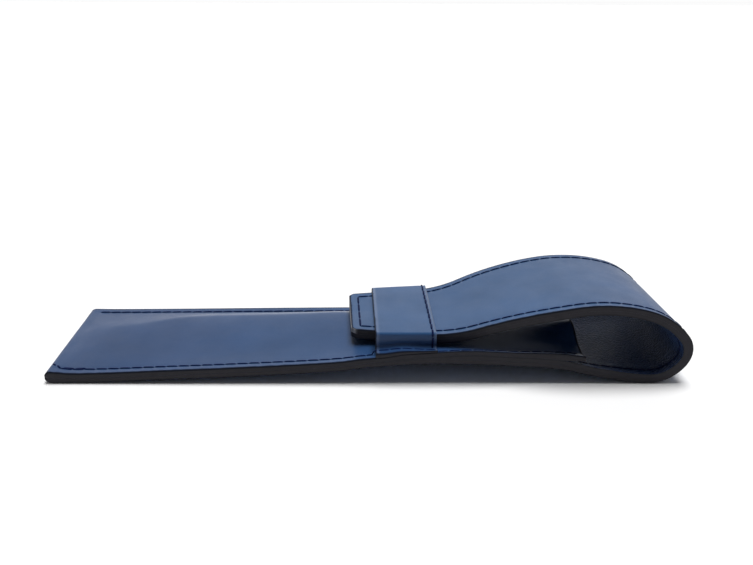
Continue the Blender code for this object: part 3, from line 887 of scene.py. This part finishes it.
# The bead of one stitch, whose length and thickness are 1, and how it lies in the leather
BEAD_SQUARENESS = 8
END_TURN = 4
END_DROP = 0.4
THREAD_LIFT = 0.2
THREAD_FLATNESS = 0.6
PROBE = 0.02 * MM
FRONT_SLANT = 0.06
HEM_SLANT = 0.05
SEAM_SINK = 0.5
FOOT_STEP = 0.7 * MM
FOOT_CLIMB = 0.6 * MM
# The slanted stitches at the fold, in millimetres: place, distance from the edge, length
TACK_STITCHES = [(1.5, 4.2, 1.5), (3.0, 3.2, 1.8)]
TACK_SLANT = math.radians(-47)
DOUBLED_SHIFT = 0.5 * MM
DOUBLED_INSET = 0.4 * MM
DOUBLED_SLANT = 0.03


def stitch_shape():
    """Model one stitch once: a short round bead of thread, its ends turned down into the holes."""
    deselect_all()
    bpy.ops.mesh.primitive_uv_sphere_add(segments=6, ring_count=8, radius=0.5,
                                         rotation=(0, math.pi / 2, 0))
    stitch = bpy.context.object
    bpy.ops.object.transform_apply(location=True, rotation=True, scale=True)
    corners = []
    for vertex in stitch.data.vertices:
        x, y, z = vertex.co
        run = math.asin(max(-1.0, min(1.0, 2 * x))) / math.pi
        full = math.sqrt(max(0.0, 0.25 - x * x)) or 1.0
        end = 2 * abs(run)
        girth = (1 - end ** BEAD_SQUARENESS) ** 0.5 * 0.5
        corners.append((run, y / full * girth, z / full * girth - end ** END_TURN * END_DROP))
    faces = [tuple(face.vertices) for face in stitch.data.polygons]
    bpy.data.objects.remove(stitch, do_unlink=True)
    return corners, faces


def sew(name, stitches):
    """Make one mesh of many stitches; each is (surface, place, y, length, slant, side)."""
    corners, faces = stitch_shape()
    width = sizes().stitch_thickness
    points, polygons = [], []
    for surface, place, y, length, slant, side in stitches:
        base = len(points)
        for run, across, up in corners:
            u = place + run * length * math.cos(slant) - across * width * math.sin(slant)
            v = y + run * length * math.sin(slant) + across * width * math.cos(slant)
            ahead = surface(u + PROBE, v) - surface(u - PROBE, v)
            beside = surface(u, v + PROBE) - surface(u, v - PROBE)
            out = ahead.cross(beside).normalized() * side
            points.append(surface(u, v) + out * (up + THREAD_LIFT) * width * THREAD_FLATNESS)
        polygons += [tuple(base + corner for corner in face[::side]) for face in faces]
    mesh = bpy.data.meshes.new(name)
    mesh.from_pydata(points, [], polygons)
    mesh.materials.append(bpy.data.materials["Thread"])
    piece = bpy.data.objects.new(name, mesh)
    bpy.context.scene.collection.objects.link(piece)
    make_active(piece)
    bpy.ops.object.mode_set(mode="EDIT")
    bpy.ops.mesh.select_all(action="SELECT")
    bpy.ops.mesh.normals_make_consistent(inside=False)
    bpy.ops.object.mode_set(mode="OBJECT")
    bpy.ops.object.shade_smooth()
    return piece


def foot_thickness(x):
    """The keeper's feet are pared thinner towards the mouth."""
    return KEEPER_LEATHER * (1 - FOOT_PARING * ramp(x, KEEPER_START, KEEPER_WIDTH))


def keeper_rise(x):
    """How far the seam climbs over the keeper's foot."""
    rise = ramp(x, KEEPER_START - FOOT_STEP, FOOT_CLIMB)
    fall = ramp(-x, -KEEPER_END - FOOT_STEP, FOOT_CLIMB)
    return foot_thickness(x) * min(rise, fall)


def front_face(x, y):
    """A point on which the front's stitches lie."""
    if x < FOLD_HEIGHT / 2:
        return fold_point(math.asin(1 - 2 * max(x, 0.0) / FOLD_HEIGHT), y, 0.0)
    return front_point(x, y, seam_dip(x - BACK_LENGTH, y, HALF_WIDTH) * SEAM_SINK - keeper_rise(x))


def outer_face(distance, y):
    """A point on which the outer stitches of the strip lie."""
    return strip_point(distance, y, seam_dip(distance, y, half_width_at(distance)) * SEAM_SINK)


def lining_face(distance, y):
    """A point on which the lining's stitches lie."""
    return lining_point(distance, y, -seam_dip(distance, y, half_width_at(distance)) * SEAM_SINK)


def side_stitches(side, start, end):
    """Stitches of one long side between two places: (place, y, length, slant)."""
    made = []
    for a, b in zip(SIDE_HOLES, SIDE_HOLES[1:]):
        middle = (a + b) / 2
        if start <= middle < end:
            y_a = side * (half_width_at(a) - SEAM_INSET)
            y_b = side * (half_width_at(b) - SEAM_INSET)
            length = math.hypot(b - a, y_b - y_a) - sizes().stitch_gap
            made.append((middle, (y_a + y_b) / 2, length, math.atan2(y_b - y_a, b - a)))
    return made


def tip_stitches():
    """Stitches across the tongue's tip."""
    return [(TIP_LINE, (a + b) / 2, b - a - sizes().stitch_gap, math.pi / 2)
            for a, b in zip(TIP_HOLES, TIP_HOLES[1:])]


def back_tack():
    """The start of the near seam: two slanted stitches at the fold, then a doubled stretch."""
    made = [(place * MM, inset * MM - HALF_WIDTH, length * MM, TACK_SLANT)
            for place, inset, length in TACK_STITCHES]
    for a, b in zip(SIDE_HOLES[:2], SIDE_HOLES[1:]):
        place = BACK_LENGTH + (a + b) / 2 + DOUBLED_SHIFT
        made.append((place, SEAM_INSET + DOUBLED_INSET - HALF_WIDTH, b - a, DOUBLED_SLANT))
    return made


class PENCASE_OT_seams(bpy.types.Operator):
    """Sew both long seams, on the outside, on the front and on the lining"""

    bl_idname = "pencase.seams"
    bl_label = "Long seams"

    def execute(self, context):
        start = SEAM_START - BACK_LENGTH
        mouth = POCKET_LENGTH - BACK_LENGTH
        for side, word in ((-1, "near"), (1, "far")):
            front = [(front_face, BACK_LENGTH + place, y, length, slant + side * FRONT_SLANT, 1)
                     for place, y, length, slant in side_stitches(side, start, mouth)]
            if side < 0:
                front += [(front_face, *stitch, 1) for stitch in back_tack()]
            hand_over(sew("stitches_front_" + word, front), "case", "thread", "front_thread_" + word)
            back = [(outer_face, *stitch, -1) for stitch in side_stitches(side, start, CUTS[0])]
            back += [(lining_face, *stitch, 1) for stitch in side_stitches(side, mouth, CUTS[0])]
            hand_over(sew("stitches_back_" + word, back), "case", "thread", "back_thread_" + word)
        for part, _, _, begin, end, _, _ in PARTS:
            name = "slope" if part == "flap" else part
            stitches = side_stitches(-1, begin, end) + side_stitches(1, begin, end)
            nodes = [f"{face}_thread_{name}_{side}"
                     for face in ("outer", "lining") for side in ("near", "far")]
            if part == "flap":
                stitches += tip_stitches()
                nodes += ["outer_thread_tongue", "lining_thread_tongue"]
            both = [(outer_face, *stitch, -1) for stitch in stitches]
            both += [(lining_face, *stitch, 1) for stitch in stitches]
            hand_over(sew("stitches_" + part, both), part, "thread", *nodes)
        return {"FINISHED"}


# Keeper band

KEEPER_STEPS = 26
FOOT_STEPS, FILLET_STEPS, WALL_STEPS, SHOULDER_STEPS, TOP_STEPS = 6, 4, 6, 8, 12
# Where a pale highlight is painted on the band beside its two edges: its strength, place and width
HIGHLIGHT_AT_HEM, HIGHLIGHT_AT_CUT = 1.6, 1.2
HEM_HIGHLIGHT_INSET, CUT_HIGHLIGHT_INSET = 0.15 * MM, 0.45 * MM
HIGHLIGHT_WIDTH = 0.35 * MM
CUT_BURNISH_LESS = 0.35 * MM
FACES_MOUTH = 0.7
FOOT_REACH = 3.0 * MM
KEEPER_TOP_PAINTED_LIGHT = (KEEPER_TOP - 0.5 * MM, 0.4 * MM)
KEEPER_RIPPLE = 0.6
KEEPER_ROUND = 0.8
HEM_REACH = 3.3 * MM


def quarter(steps, first):
    """Angles of a quarter turn in even steps."""
    return [math.pi / 2 * i / steps for i in range(first, steps + 1)]


def keeper_outline(x, depth):
    """Outline of the keeper from its near foot over the top to its far foot."""
    over = foot_thickness(x) if depth == 0 else 2 * SLIVER
    top, wall, fillet = KEEPER_TOP - depth, KEEPER_WALL - depth, FOOT_FILLET + depth
    near_turn = KEEPER_SHOULDER - depth
    far_turn = max(KEEPER_SHOULDER, KEEPER_WALL - half_width_at(STRIP_END - x + TONGUE_TIP)) - depth
    outline = []
    for side, turn in ((-1, near_turn), (1, far_turn)):
        foot = HALF_WIDTH - KEEPER_WALL - FOOT_FILLET
        feet = [HALF_WIDTH - foot * i / FOOT_STEPS for i in range(FOOT_STEPS + 1)]
        half = [(y, front_level(x, side * y) + over) for y in feet]
        low, high = half[-1][1] + fillet, top - turn
        half += [(wall + fillet - fillet * math.sin(angle), low - fillet * math.cos(angle))
                 for angle in quarter(FILLET_STEPS, 1)]
        half += [(wall + WALL_BULGE * math.sin(math.pi * share), low + (high - low) * share)
                 for share in [i / WALL_STEPS for i in range(1, WALL_STEPS)]]
        half += [(wall - turn + turn * math.cos(angle), high + turn * math.sin(angle))
                 for angle in quarter(SHOULDER_STEPS, 0)]
        half = [(side * y, z) for y, z in half]
        outline += half if side < 0 else [*keeper_top(near_turn - wall, wall - turn, top), *half[::-1]]
    return [Vector((x - KEEPER_SKEW * y / HALF_WIDTH - CENTRE, y, z)) for y, z in outline]


def keeper_top(near, far, top):
    """Points across the top, which the tongue pushes up a little in the middle."""
    shares = [i / TOP_STEPS * 2 - 1 for i in range(1, TOP_STEPS)]
    return [((near + far) / 2 + (far - near) / 2 * share, top + TOP_PUSH * (1 - share * share))
            for share in shares]


def outline_length(outline):
    """Length of a line through points."""
    return sum((b - a).length for a, b in zip(outline, outline[1:]))


def lay_keeper():
    """Lay the keeper band and give it its thickness."""
    values = {"edge_inset": [], "painted_light": [], "painted_highlight": []}
    rows, spots, hidden = [], [], []
    for i in range(KEEPER_STEPS, -1, -1):
        x = KEEPER_START + KEEPER_WIDTH * i / KEEPER_STEPS
        # Painted highlight: pale lines beside the hem and beside the cut edge
        painted_highlight = HIGHLIGHT_AT_HEM * bell(KEEPER_END - x - HEM_HIGHLIGHT_INSET, HIGHLIGHT_WIDTH)
        painted_highlight += HIGHLIGHT_AT_CUT * bell(x - KEEPER_START - CUT_HIGHLIGHT_INSET, HIGHLIGHT_WIDTH)
        dip = HEM_DIP * bell(KEEPER_END - x - HEM_INSET, HEM_WIDTH)
        hidden += keeper_outline(x, KEEPER_LEATHER)
        outline = keeper_outline(x, 0.0)
        total = outline_length(outline)
        run = 0.0
        row = []
        for before, point in zip([outline[0], *outline], outline):
            run += (point - before).length
            ease = ramp(run, FOOT_REACH, MM) * ramp(total - run, FOOT_REACH, MM)
            out = Vector((0.0, point.y, point.z - TONGUE_TOP / 2)).normalized()
            row.append(point - out * (dip * ease + ripple(x, run, "keeper") * KEEPER_RIPPLE))
            inset = min(x - KEEPER_START + CUT_BURNISH_LESS, run, total - run)
            values["edge_inset"].append(inset / MM)
            # Painted light: the flat top is coloured lighter than the shaded riser
            values["painted_light"].append(ramp(point.z, *KEEPER_TOP_PAINTED_LIGHT))
            values["painted_highlight"].append(painted_highlight)
            spots.append((x, run))
        rows.append(row)
    band = lay_sheet("keeper", rows, spots, values, KEEPER_LEATHER, "Blue leather", hidden)
    # The mouth side is a folded hem and no painted cut
    for face in band.data.polygons:
        if face.material_index == RIM_FINISH and face.normal.x > FACES_MOUTH:
            face.material_index = FACE_FINISH
    round_rim(band, sizes().edge_round * KEEPER_ROUND, 2)
    band.data.normals_split_custom_set_from_vertices(smooth_normals(band))
    return band


def hem_face(run, x):
    """A point of the keeper's face by the distance from its near edge."""
    outline = keeper_outline(x, 0.0)
    for a, b in zip(outline, outline[1:]):
        length = (b - a).length
        if run <= length:
            return a.lerp(b, run / length)
        run -= length
    return outline[-1]


class PENCASE_OT_keeper(bpy.types.Operator):
    """Bend the keeper band over the front and set its feet on the sewn margins"""

    bl_idname = "pencase.keeper"
    bl_label = "Keeper band"

    def execute(self, context):
        hand_over(lay_keeper(), "case", "blue_leather", "keeper_band")
        return {"FINISHED"}


class PENCASE_OT_keeper_hem(bpy.types.Operator):
    """Sew the hem along the keeper's mouth side"""

    bl_idname = "pencase.keeper_hem"
    bl_label = "Keeper hem"

    def execute(self, context):
        x = KEEPER_END - HEM_INSET
        start, end = HEM_REACH, outline_length(keeper_outline(x, 0.0)) - HEM_REACH
        count = round((end - start) / STITCH_PITCH)
        pitch = (end - start) / count
        stitches = [(hem_face, start + pitch * (i + 0.5), x, pitch - sizes().stitch_gap, HEM_SLANT, -1)
                    for i in range(count)]
        hand_over(sew("stitches_keeper_hem", stitches), "case", "thread", "keeper_hem_thread")
        return {"FINISHED"}


# Finishes

# Shares and amounts in the shared groups and the finishes
WARP_SCALE = 0.35
CREASE_WIDTH, CREASE_DEPTH = 0.16, 0.45
EDGE_VARIES, EDGE_LEAST, EDGE_FULL_SHARE = 1.2, 0.4, 0.45
PAINTED_HIGHLIGHT_SHARE, PAINTED_HIGHLIGHT_POLISH = 0.3, 0.1
CREASE_SHARE, LINING_CREASE_SHARE = 0.22, 0.6
BURNISH_DULLS = 0.35
SCUFF_GAIN = 1.3
THREAD_TWIST = math.radians(38.0)

# Colours beside those of the sidebar
# Painted light: how much lighter the lit faces are coloured
PAINTED_LIGHT_TINT = (1.5, 1.5, 1.34, 1.0)
# Painted highlight: the pale blue of the highlight lines
PAINTED_HIGHLIGHT_BLUE = (0.16, 0.2, 0.3, 1.0)
CREASE_TINT = (0.5, 0.5, 0.55, 1.0)
# Dark burnish beside the cut edges, also used as painted shade round the fold
BURNISH_AND_FOLD_SHADE_BLUE = (0.006, 0.009, 0.022, 1.0)
LINING_CREASE_TINT = (0.3, 0.3, 0.35, 1.0)
LINING_SHEEN = (0.2, 0.42, 1.0, 1.0)
LINING_GLOSS = (0.45, 0.62, 1.0, 1.0)
THICK_PAINT = (0.003, 0.004, 0.009, 1.0)
BARE_LEATHER = (0.34, 0.35, 0.38, 1.0)
FLOOR_TONES = ((0.86, 0.86, 0.865, 1.0), (0.89, 0.89, 0.89, 1.0))


class Nodes:
    """A small helper that adds and joins shader nodes."""

    def __init__(self, tree):
        self.tree = tree
        tree.nodes.clear()

    def add(self, kind, settings=(), **inputs):
        """Add a node with its settings and join its inputs."""
        node = self.tree.nodes.new(kind)
        for key, value in dict(settings).items():
            setattr(node, key, value)
        return self.join(node, **inputs)

    def join(self, node, **inputs):
        """Set or link inputs, each by its name with _ for a space, or by its number, as in i0."""
        for key, value in inputs.items():
            socket = node.inputs[int(key[1:]) if key[1:].isdigit() else key.replace("_", " ")]
            if isinstance(value, bpy.types.NodeSocket):
                self.tree.links.new(value, socket)
            else:
                socket.default_value = value
        return node

    def math(self, operation, a, b=0.0, c=0.0):
        return self.add("ShaderNodeMath", {"operation": operation}, i0=a, i1=b, i2=c).outputs[0]

    def mix(self, share, a, b, blend="MIX"):
        """Mix two colours, or tint the first with the second."""
        return self.add("ShaderNodeMix", {"data_type": "RGBA", "blend_type": blend},
                        i0=share, i6=a, i7=b).outputs[2]

    def shade(self, share, colour, dark, light):
        """Let a colour vary between a darker and a lighter shade of itself."""
        ends = [(*[min(1.0, channel * part) for channel in colour], 1.0) for part in (dark, light)]
        return self.mix(share, *ends)

    def noise(self, **inputs):
        return self.add("ShaderNodeTexNoise", **inputs).outputs["Fac"]

    def fade(self, value, full, none):
        """Ease from 1 to 0 between two values."""
        return self.add("ShaderNodeMapRange", {"interpolation_type": "SMOOTHSTEP"}, Value=value,
                        From_Min=full, From_Max=none, To_Min=1.0, To_Max=0.0).outputs[0]

    def bump(self, height, strength, distance):
        return self.add("ShaderNodeBump", Strength=strength, Distance=distance,
                        Height=height).outputs[0]

    def noted(self, name):
        """A number that the mesh keeps for each corner."""
        return self.add("ShaderNodeAttribute", {"attribute_name": name}).outputs["Fac"]

    def surface(self):
        """The sheet's own map, in metres."""
        return self.add("ShaderNodeUVMap", {"uv_map": SURFACE_MAP}).outputs[0]

    def space(self):
        return self.add("ShaderNodeTexCoord").outputs["Object"]

    def group(self, name, **inputs):
        """Put a shared group in and return its outputs."""
        node = self.tree.nodes.new("ShaderNodeGroup")
        node.node_tree = bpy.data.node_groups[name]
        return self.join(node, **inputs).outputs

    def drift(self, surface, patches, low=0.0, high=1.0):
        """Slow change over the surface, between a low and a high value."""
        return self.group("Slow drift", Vector=surface, Patches_per_metre=patches,
                          Low=low, High=high)[0]


def new_group(name, inputs, outputs):
    """Start a shader node group; return its nodes, its inputs and the node of its outputs."""
    group = bpy.data.node_groups.new(name, "ShaderNodeTree")
    for label, kind, value in inputs:
        socket = group.interface.new_socket(label, in_out="INPUT", socket_type="NodeSocket" + kind)
        if value is not None:
            socket.default_value = value
    for label in outputs:
        group.interface.new_socket(label, in_out="OUTPUT", socket_type="NodeSocketFloat")
    nodes = Nodes(group)
    return nodes, nodes.add("NodeGroupInput").outputs, nodes.add("NodeGroupOutput")


def grain_group():
    """Leather grain: small cells with creases between them, broken up by noise."""
    nodes, entry, leave = new_group(
        "Leather grain",
        [("Vector", "Vector", None), ("Cells per metre", "Float", 4000.0), ("Breakup", "Float", 0.4)],
        ["Height", "Creases"])
    surface, cells = entry["Vector"], entry["Cells per metre"]
    warp = nodes.add("ShaderNodeTexNoise", Vector=surface, Detail=2.0,
                     Scale=nodes.math("MULTIPLY", cells, WARP_SCALE)).outputs["Color"]
    spread = nodes.add("ShaderNodeVectorMath", {"operation": "SCALE"}, i0=warp,
                       Scale=nodes.math("DIVIDE", entry["Breakup"], cells)).outputs[0]
    moved = nodes.add("ShaderNodeVectorMath", {"operation": "ADD"}, i0=surface, i1=spread).outputs[0]
    domes = nodes.add("ShaderNodeTexVoronoi", {"feature": "SMOOTH_F1"}, Vector=moved, Scale=cells,
                      Smoothness=0.35).outputs["Distance"]
    edges = nodes.add("ShaderNodeTexVoronoi", {"feature": "DISTANCE_TO_EDGE"}, Vector=moved,
                      Scale=cells).outputs["Distance"]
    crease = nodes.fade(edges, full=0.0, none=CREASE_WIDTH)
    height = nodes.math("MULTIPLY_ADD", crease, -CREASE_DEPTH, nodes.math("SUBTRACT", 1.0, domes))
    nodes.join(leave, Height=height, Creases=crease)


def drift_group():
    """Slow change over the surface, between a low and a high value."""
    nodes, entry, leave = new_group(
        "Slow drift",
        [("Vector", "Vector", None), ("Patches per metre", "Float", 60.0), ("Low", "Float", 0.0),
         ("High", "Float", 1.0)],
        ["Value"])
    cloud = nodes.noise(Vector=entry["Vector"], Detail=4.0, Roughness=0.6,
                        Scale=entry["Patches per metre"])
    spread = nodes.add("ShaderNodeMapRange", Value=cloud, From_Min=0.3, From_Max=0.7,
                       To_Min=entry["Low"], To_Max=entry["High"])
    nodes.join(leave, Value=spread.outputs[0])


def edge_group():
    """Mask of the leather beside a cut edge, and of the painted shade round the fold, uneven along it."""
    nodes, entry, leave = new_group(
        "Edge burnish and fold shade",
        [("Vector", "Vector", None), ("Inset", "Float", 1.0), ("Width", "Float", 0.5)], ["Mask"])
    uneven = nodes.noise(Vector=entry["Vector"], Scale=420.0, Detail=3.0)
    uneven = nodes.math("MULTIPLY_ADD", uneven, EDGE_VARIES, EDGE_LEAST)
    width = nodes.math("MULTIPLY", entry["Width"], uneven)
    full = nodes.math("MULTIPLY", width, EDGE_FULL_SHARE)
    nodes.join(leave, Mask=nodes.fade(entry["Inset"], full, none=width))


def new_finish(name, **constants):
    """Start a material; return its nodes and its shader, with the shader's constants set."""
    material = bpy.data.materials.new(name)
    material.use_nodes = True
    nodes = Nodes(material.node_tree)
    shader = nodes.add("ShaderNodeBsdfPrincipled", **constants)
    nodes.add("ShaderNodeOutputMaterial", Surface=shader.outputs[0])
    return nodes, shader


def smooth_leather(colour):
    """Smooth blue leather with painted light where it is lit more, a painted pale highlight along the crest
    and the keeper's edges, dark burnish beside the cut edges and painted shade round the fold.
    """
    nodes, shader = new_finish("Blue leather", Specular_IOR_Level=0.28)
    surface = nodes.surface()
    grain = nodes.group("Leather grain", Vector=surface, Cells_per_metre=3200.0, Breakup=0.7)
    edge = nodes.group("Edge burnish and fold shade", Vector=surface, Inset=nodes.noted("edge_inset"), Width=0.75)[0]
    painted_highlight = nodes.noted("painted_highlight")
    tone = nodes.shade(nodes.drift(surface, patches=45.0), colour, dark=0.88, light=1.12)
    # Painted light: lighter colour where the faces are lit more, on the flap, the front by the keeper and
    # the keeper's top
    tone = nodes.mix(nodes.noted("painted_light"), tone, PAINTED_LIGHT_TINT, "MULTIPLY")
    # Painted highlight: a pale line along the crest and beside the keeper's edges
    tone = nodes.mix(nodes.math("MULTIPLY", painted_highlight, PAINTED_HIGHLIGHT_SHARE), tone, PAINTED_HIGHLIGHT_BLUE)
    tone = nodes.mix(nodes.math("MULTIPLY", grain["Creases"], CREASE_SHARE), tone, CREASE_TINT,
                     "MULTIPLY")
    rough = nodes.drift(surface, patches=160.0, low=0.40, high=0.48)
    rough = nodes.math("MULTIPLY_ADD", painted_highlight, -PAINTED_HIGHLIGHT_POLISH, rough)
    # Dark burnish beside the cut edges and painted shade round the fold
    nodes.join(shader, Base_Color=nodes.mix(edge, tone, BURNISH_AND_FOLD_SHADE_BLUE),
               Roughness=nodes.math("MULTIPLY_ADD", edge, BURNISH_DULLS, rough),
               Normal=nodes.bump(grain["Height"], strength=0.35, distance=0.03 * MM))


def pebbled_lining(colour):
    """Dark lining leather with a pebbled grain and a bluish sheen."""
    nodes, shader = new_finish("Pebbled lining", Specular_IOR_Level=0.07, Specular_Tint=LINING_GLOSS,
                               Sheen_Weight=0.25, Sheen_Roughness=0.5, Sheen_Tint=LINING_SHEEN)
    surface = nodes.surface()
    grain = nodes.group("Leather grain", Vector=surface, Cells_per_metre=1500.0, Breakup=0.6)
    tone = nodes.shade(nodes.drift(surface, patches=70.0), colour, dark=0.75, light=1.3)
    creases = nodes.math("MULTIPLY", grain["Creases"], LINING_CREASE_SHARE)
    nodes.join(shader, Base_Color=nodes.mix(creases, tone, LINING_CREASE_TINT, "MULTIPLY"),
               Roughness=nodes.drift(surface, patches=300.0, low=0.34, high=0.46),
               Normal=nodes.bump(grain["Height"], strength=1.0, distance=0.16 * MM))


def flesh_side(colour):
    """The napped back of the leather."""
    nodes, shader = new_finish("Flesh side", Roughness=0.92, Sheen_Weight=0.15)
    nap = nodes.noise(Vector=nodes.space(), Scale=2600.0, Detail=5.0, Roughness=0.7)
    nodes.join(shader, Base_Color=nodes.shade(nap, colour, dark=0.6, light=1.25),
               Normal=nodes.bump(nap, strength=0.6, distance=0.08 * MM))


def edge_paint(colour):
    """Dark edge paint in uneven coats, thick beside the corner and scuffed where it is worn."""
    nodes, shader = new_finish("Edge paint", Specular_IOR_Level=0.22)
    space = nodes.space()
    stretched = nodes.add("ShaderNodeMapping", Vector=space, Scale=(260.0, 900.0, 900.0)).outputs[0]
    coats = nodes.noise(Vector=stretched, Scale=1.0, Detail=4.0, Roughness=0.6)
    corner = nodes.fade(nodes.noted("rim_depth"), full=0.15, none=0.4)
    tone = nodes.mix(corner, nodes.shade(coats, colour, dark=0.7, light=1.35), THICK_PAINT)
    scuffs = nodes.math("MULTIPLY", nodes.noise(Vector=space, Scale=700.0, Detail=3.0), SCUFF_GAIN)
    scuffed = nodes.math("MULTIPLY", nodes.noted("worn"), scuffs)
    nodes.join(shader, Base_Color=nodes.mix(scuffed, tone, BARE_LEATHER),
               Roughness=nodes.drift(space, patches=500.0, low=0.42, high=0.58),
               Normal=nodes.bump(coats, strength=0.5, distance=0.08 * MM))


def sewing_thread(colour):
    """Twisted sewing thread."""
    nodes, shader = new_finish("Thread", Roughness=0.7, Specular_IOR_Level=0.15)
    turned = nodes.add("ShaderNodeMapping", Vector=nodes.space(), Rotation=(0.0, 0.0, THREAD_TWIST))
    ply = nodes.add("ShaderNodeTexWave", {"wave_type": "BANDS", "bands_direction": "X"},
                    Vector=turned.outputs[0], Scale=820.0, Distortion=1.2, Detail=1.0).outputs["Fac"]
    nodes.join(shader, Base_Color=nodes.shade(ply, colour, dark=0.6, light=1.5),
               Normal=nodes.bump(ply, strength=0.6, distance=0.06 * MM))


def pale_floor():
    """The matt floor of the stage."""
    nodes, shader = new_finish("Pale floor", Roughness=0.7, Specular_IOR_Level=0.2)
    tone = nodes.noise(Vector=nodes.space(), Scale=3.0, Detail=2.0)
    nodes.join(shader, Base_Color=nodes.mix(tone, *FLOOR_TONES))


class PENCASE_OT_finishes(bpy.types.Operator):
    """Mix the finishes of the leather, the lining, the edges and the thread"""

    bl_idname = "pencase.finishes"
    bl_label = "Finishes"

    def execute(self, context):
        colours = context.scene.pen_case_colours
        grain_group()
        drift_group()
        edge_group()
        smooth_leather(colours.leather)
        pebbled_lining(colours.lining)
        flesh_side(colours.lining)
        edge_paint(colours.paint)
        sewing_thread(colours.thread)
        return {"FINISHED"}


# Stage

FLOOR_SIZE = 12.0
AMBIENT = 0.12
KEY_TURN = (math.radians(-6.0), math.radians(5.0), 0.0)
KEY_POWER = 3.4
KEY_SPREAD = math.radians(30.0)
BACK_LIGHT_PLACE = (0.0, 1.3, 0.62)
BACK_LIGHT_AIM = (0.0, 0.0, 0.02)
BACK_LIGHT_SIZE = (2.4, 1.3)
BACK_LIGHT_POWER = 10.5
CAMERA_PLACE = (-3.59 * MM, -196.06 * MM, 102.58 * MM)
CAMERA_TILT = math.radians(67.135)
CAMERA_TURN = math.radians(-0.722)
CAMERA_ROLL = math.radians(0.358)
CAMERA_LENS = 37.5
CAMERA_SENSOR = 36.0
CAMERA_SHIFT = 0.018
CAMERA_NEAREST = 0.01


def lay_floor():
    """Lay the pale floor."""
    pale_floor()
    deselect_all()
    bpy.ops.mesh.primitive_plane_add(size=1.0, location=(0.0, 0.0, 0.0))
    floor = bpy.context.object
    floor.name = "Floor"
    bpy.ops.object.mode_set(mode="EDIT")
    bpy.ops.transform.resize(value=(FLOOR_SIZE, FLOOR_SIZE, 1.0))
    bpy.ops.object.mode_set(mode="OBJECT")
    floor.data.materials.append(bpy.data.materials["Pale floor"])


def set_lights():
    """Set the overhead key light, the softbox behind the case and the even light around it."""
    bpy.ops.object.light_add(type="SUN", rotation=Euler(KEY_TURN))
    key = bpy.context.object
    key.name = "Overhead key"
    key.data.energy = KEY_POWER
    key.data.angle = KEY_SPREAD
    key.visible_glossy = False

    deselect_all()
    bpy.ops.object.light_add(type="AREA", location=BACK_LIGHT_PLACE)
    softbox = bpy.context.object
    softbox.name = "Back softbox"
    softbox.data.shape = "RECTANGLE"
    softbox.data.size, softbox.data.size_y = BACK_LIGHT_SIZE
    softbox.data.energy = BACK_LIGHT_POWER
    aim = Vector(BACK_LIGHT_AIM) - Vector(BACK_LIGHT_PLACE)
    softbox.rotation_euler = aim.to_track_quat("-Z", "Y").to_euler()

    world = bpy.data.worlds.new("Studio")
    world.use_nodes = True
    nodes = Nodes(world.node_tree)
    seen = nodes.add("ShaderNodeLightPath").outputs["Is Camera Ray"]
    strength = nodes.math("MULTIPLY_ADD", seen, 1.0 - AMBIENT, AMBIENT)
    background = nodes.add("ShaderNodeBackground", Color=(1.0, 1.0, 1.0, 1.0), Strength=strength)
    nodes.add("ShaderNodeOutputWorld", Surface=background.outputs[0])
    bpy.context.scene.world = world


def set_camera():
    """Set the camera, low in front of the near side."""
    bpy.ops.object.camera_add(location=CAMERA_PLACE)
    camera = bpy.context.object
    aim = Euler((CAMERA_TILT, 0.0, CAMERA_TURN)).to_quaternion()
    camera.rotation_euler = (aim @ Euler((0.0, 0.0, CAMERA_ROLL)).to_quaternion()).to_euler()
    camera.data.sensor_width = CAMERA_SENSOR
    camera.data.lens = CAMERA_LENS
    camera.data.shift_x = CAMERA_SHIFT
    camera.data.clip_start = CAMERA_NEAREST
    bpy.context.scene.camera = camera
    bpy.context.scene.view_settings.view_transform = "Standard"


class PENCASE_OT_stage(bpy.types.Operator):
    """Set the pale floor, the soft studio light and the camera"""

    bl_idname = "pencase.stage"
    bl_label = "Stage"

    def execute(self, context):
        lay_floor()
        set_lights()
        set_camera()
        return {"FINISHED"}


# Sidebar and registration

class PENCASE_PT_sidebar(bpy.types.Panel):
    """Lists the steps and the sizes and colours that can be changed."""

    bl_idname = "PENCASE_PT_sidebar"
    bl_label = "Pen case"
    bl_space_type = "VIEW_3D"
    bl_region_type = "UI"
    bl_category = "Pen case"

    def draw(self, context):
        for step in STEPS:
            self.layout.operator(step.bl_idname)
        for group in (context.scene.pen_case_sizes, context.scene.pen_case_colours):
            for name in group.bl_rna.properties.keys():
                if name not in ("rna_type", "name"):
                    self.layout.prop(group, name)


STEPS = [
    PENCASE_OT_finishes,
    PENCASE_OT_outer_leather,
    PENCASE_OT_lining,
    PENCASE_OT_keeper,
    PENCASE_OT_seams,
    PENCASE_OT_keeper_hem,
    PENCASE_OT_stage,
]
CLASSES = [PenCaseSizes, PenCaseColours, *STEPS, PENCASE_PT_sidebar]


def register():
    for item in CLASSES:
        bpy.utils.register_class(item)
    bpy.types.Scene.pen_case_sizes = bpy.props.PointerProperty(type=PenCaseSizes)
    bpy.types.Scene.pen_case_colours = bpy.props.PointerProperty(type=PenCaseColours)


def unregister():
    del bpy.types.Scene.pen_case_colours
    del bpy.types.Scene.pen_case_sizes
    for item in reversed(CLASSES):
        bpy.utils.unregister_class(item)


def main():
    register()
    bpy.ops.pencase.finishes()
    bpy.ops.pencase.outer_leather()
    bpy.ops.pencase.lining()
    bpy.ops.pencase.keeper()
    bpy.ops.pencase.seams()
    bpy.ops.pencase.keeper_hem()
    bpy.ops.pencase.stage()


if __name__ == "__main__":
    main()
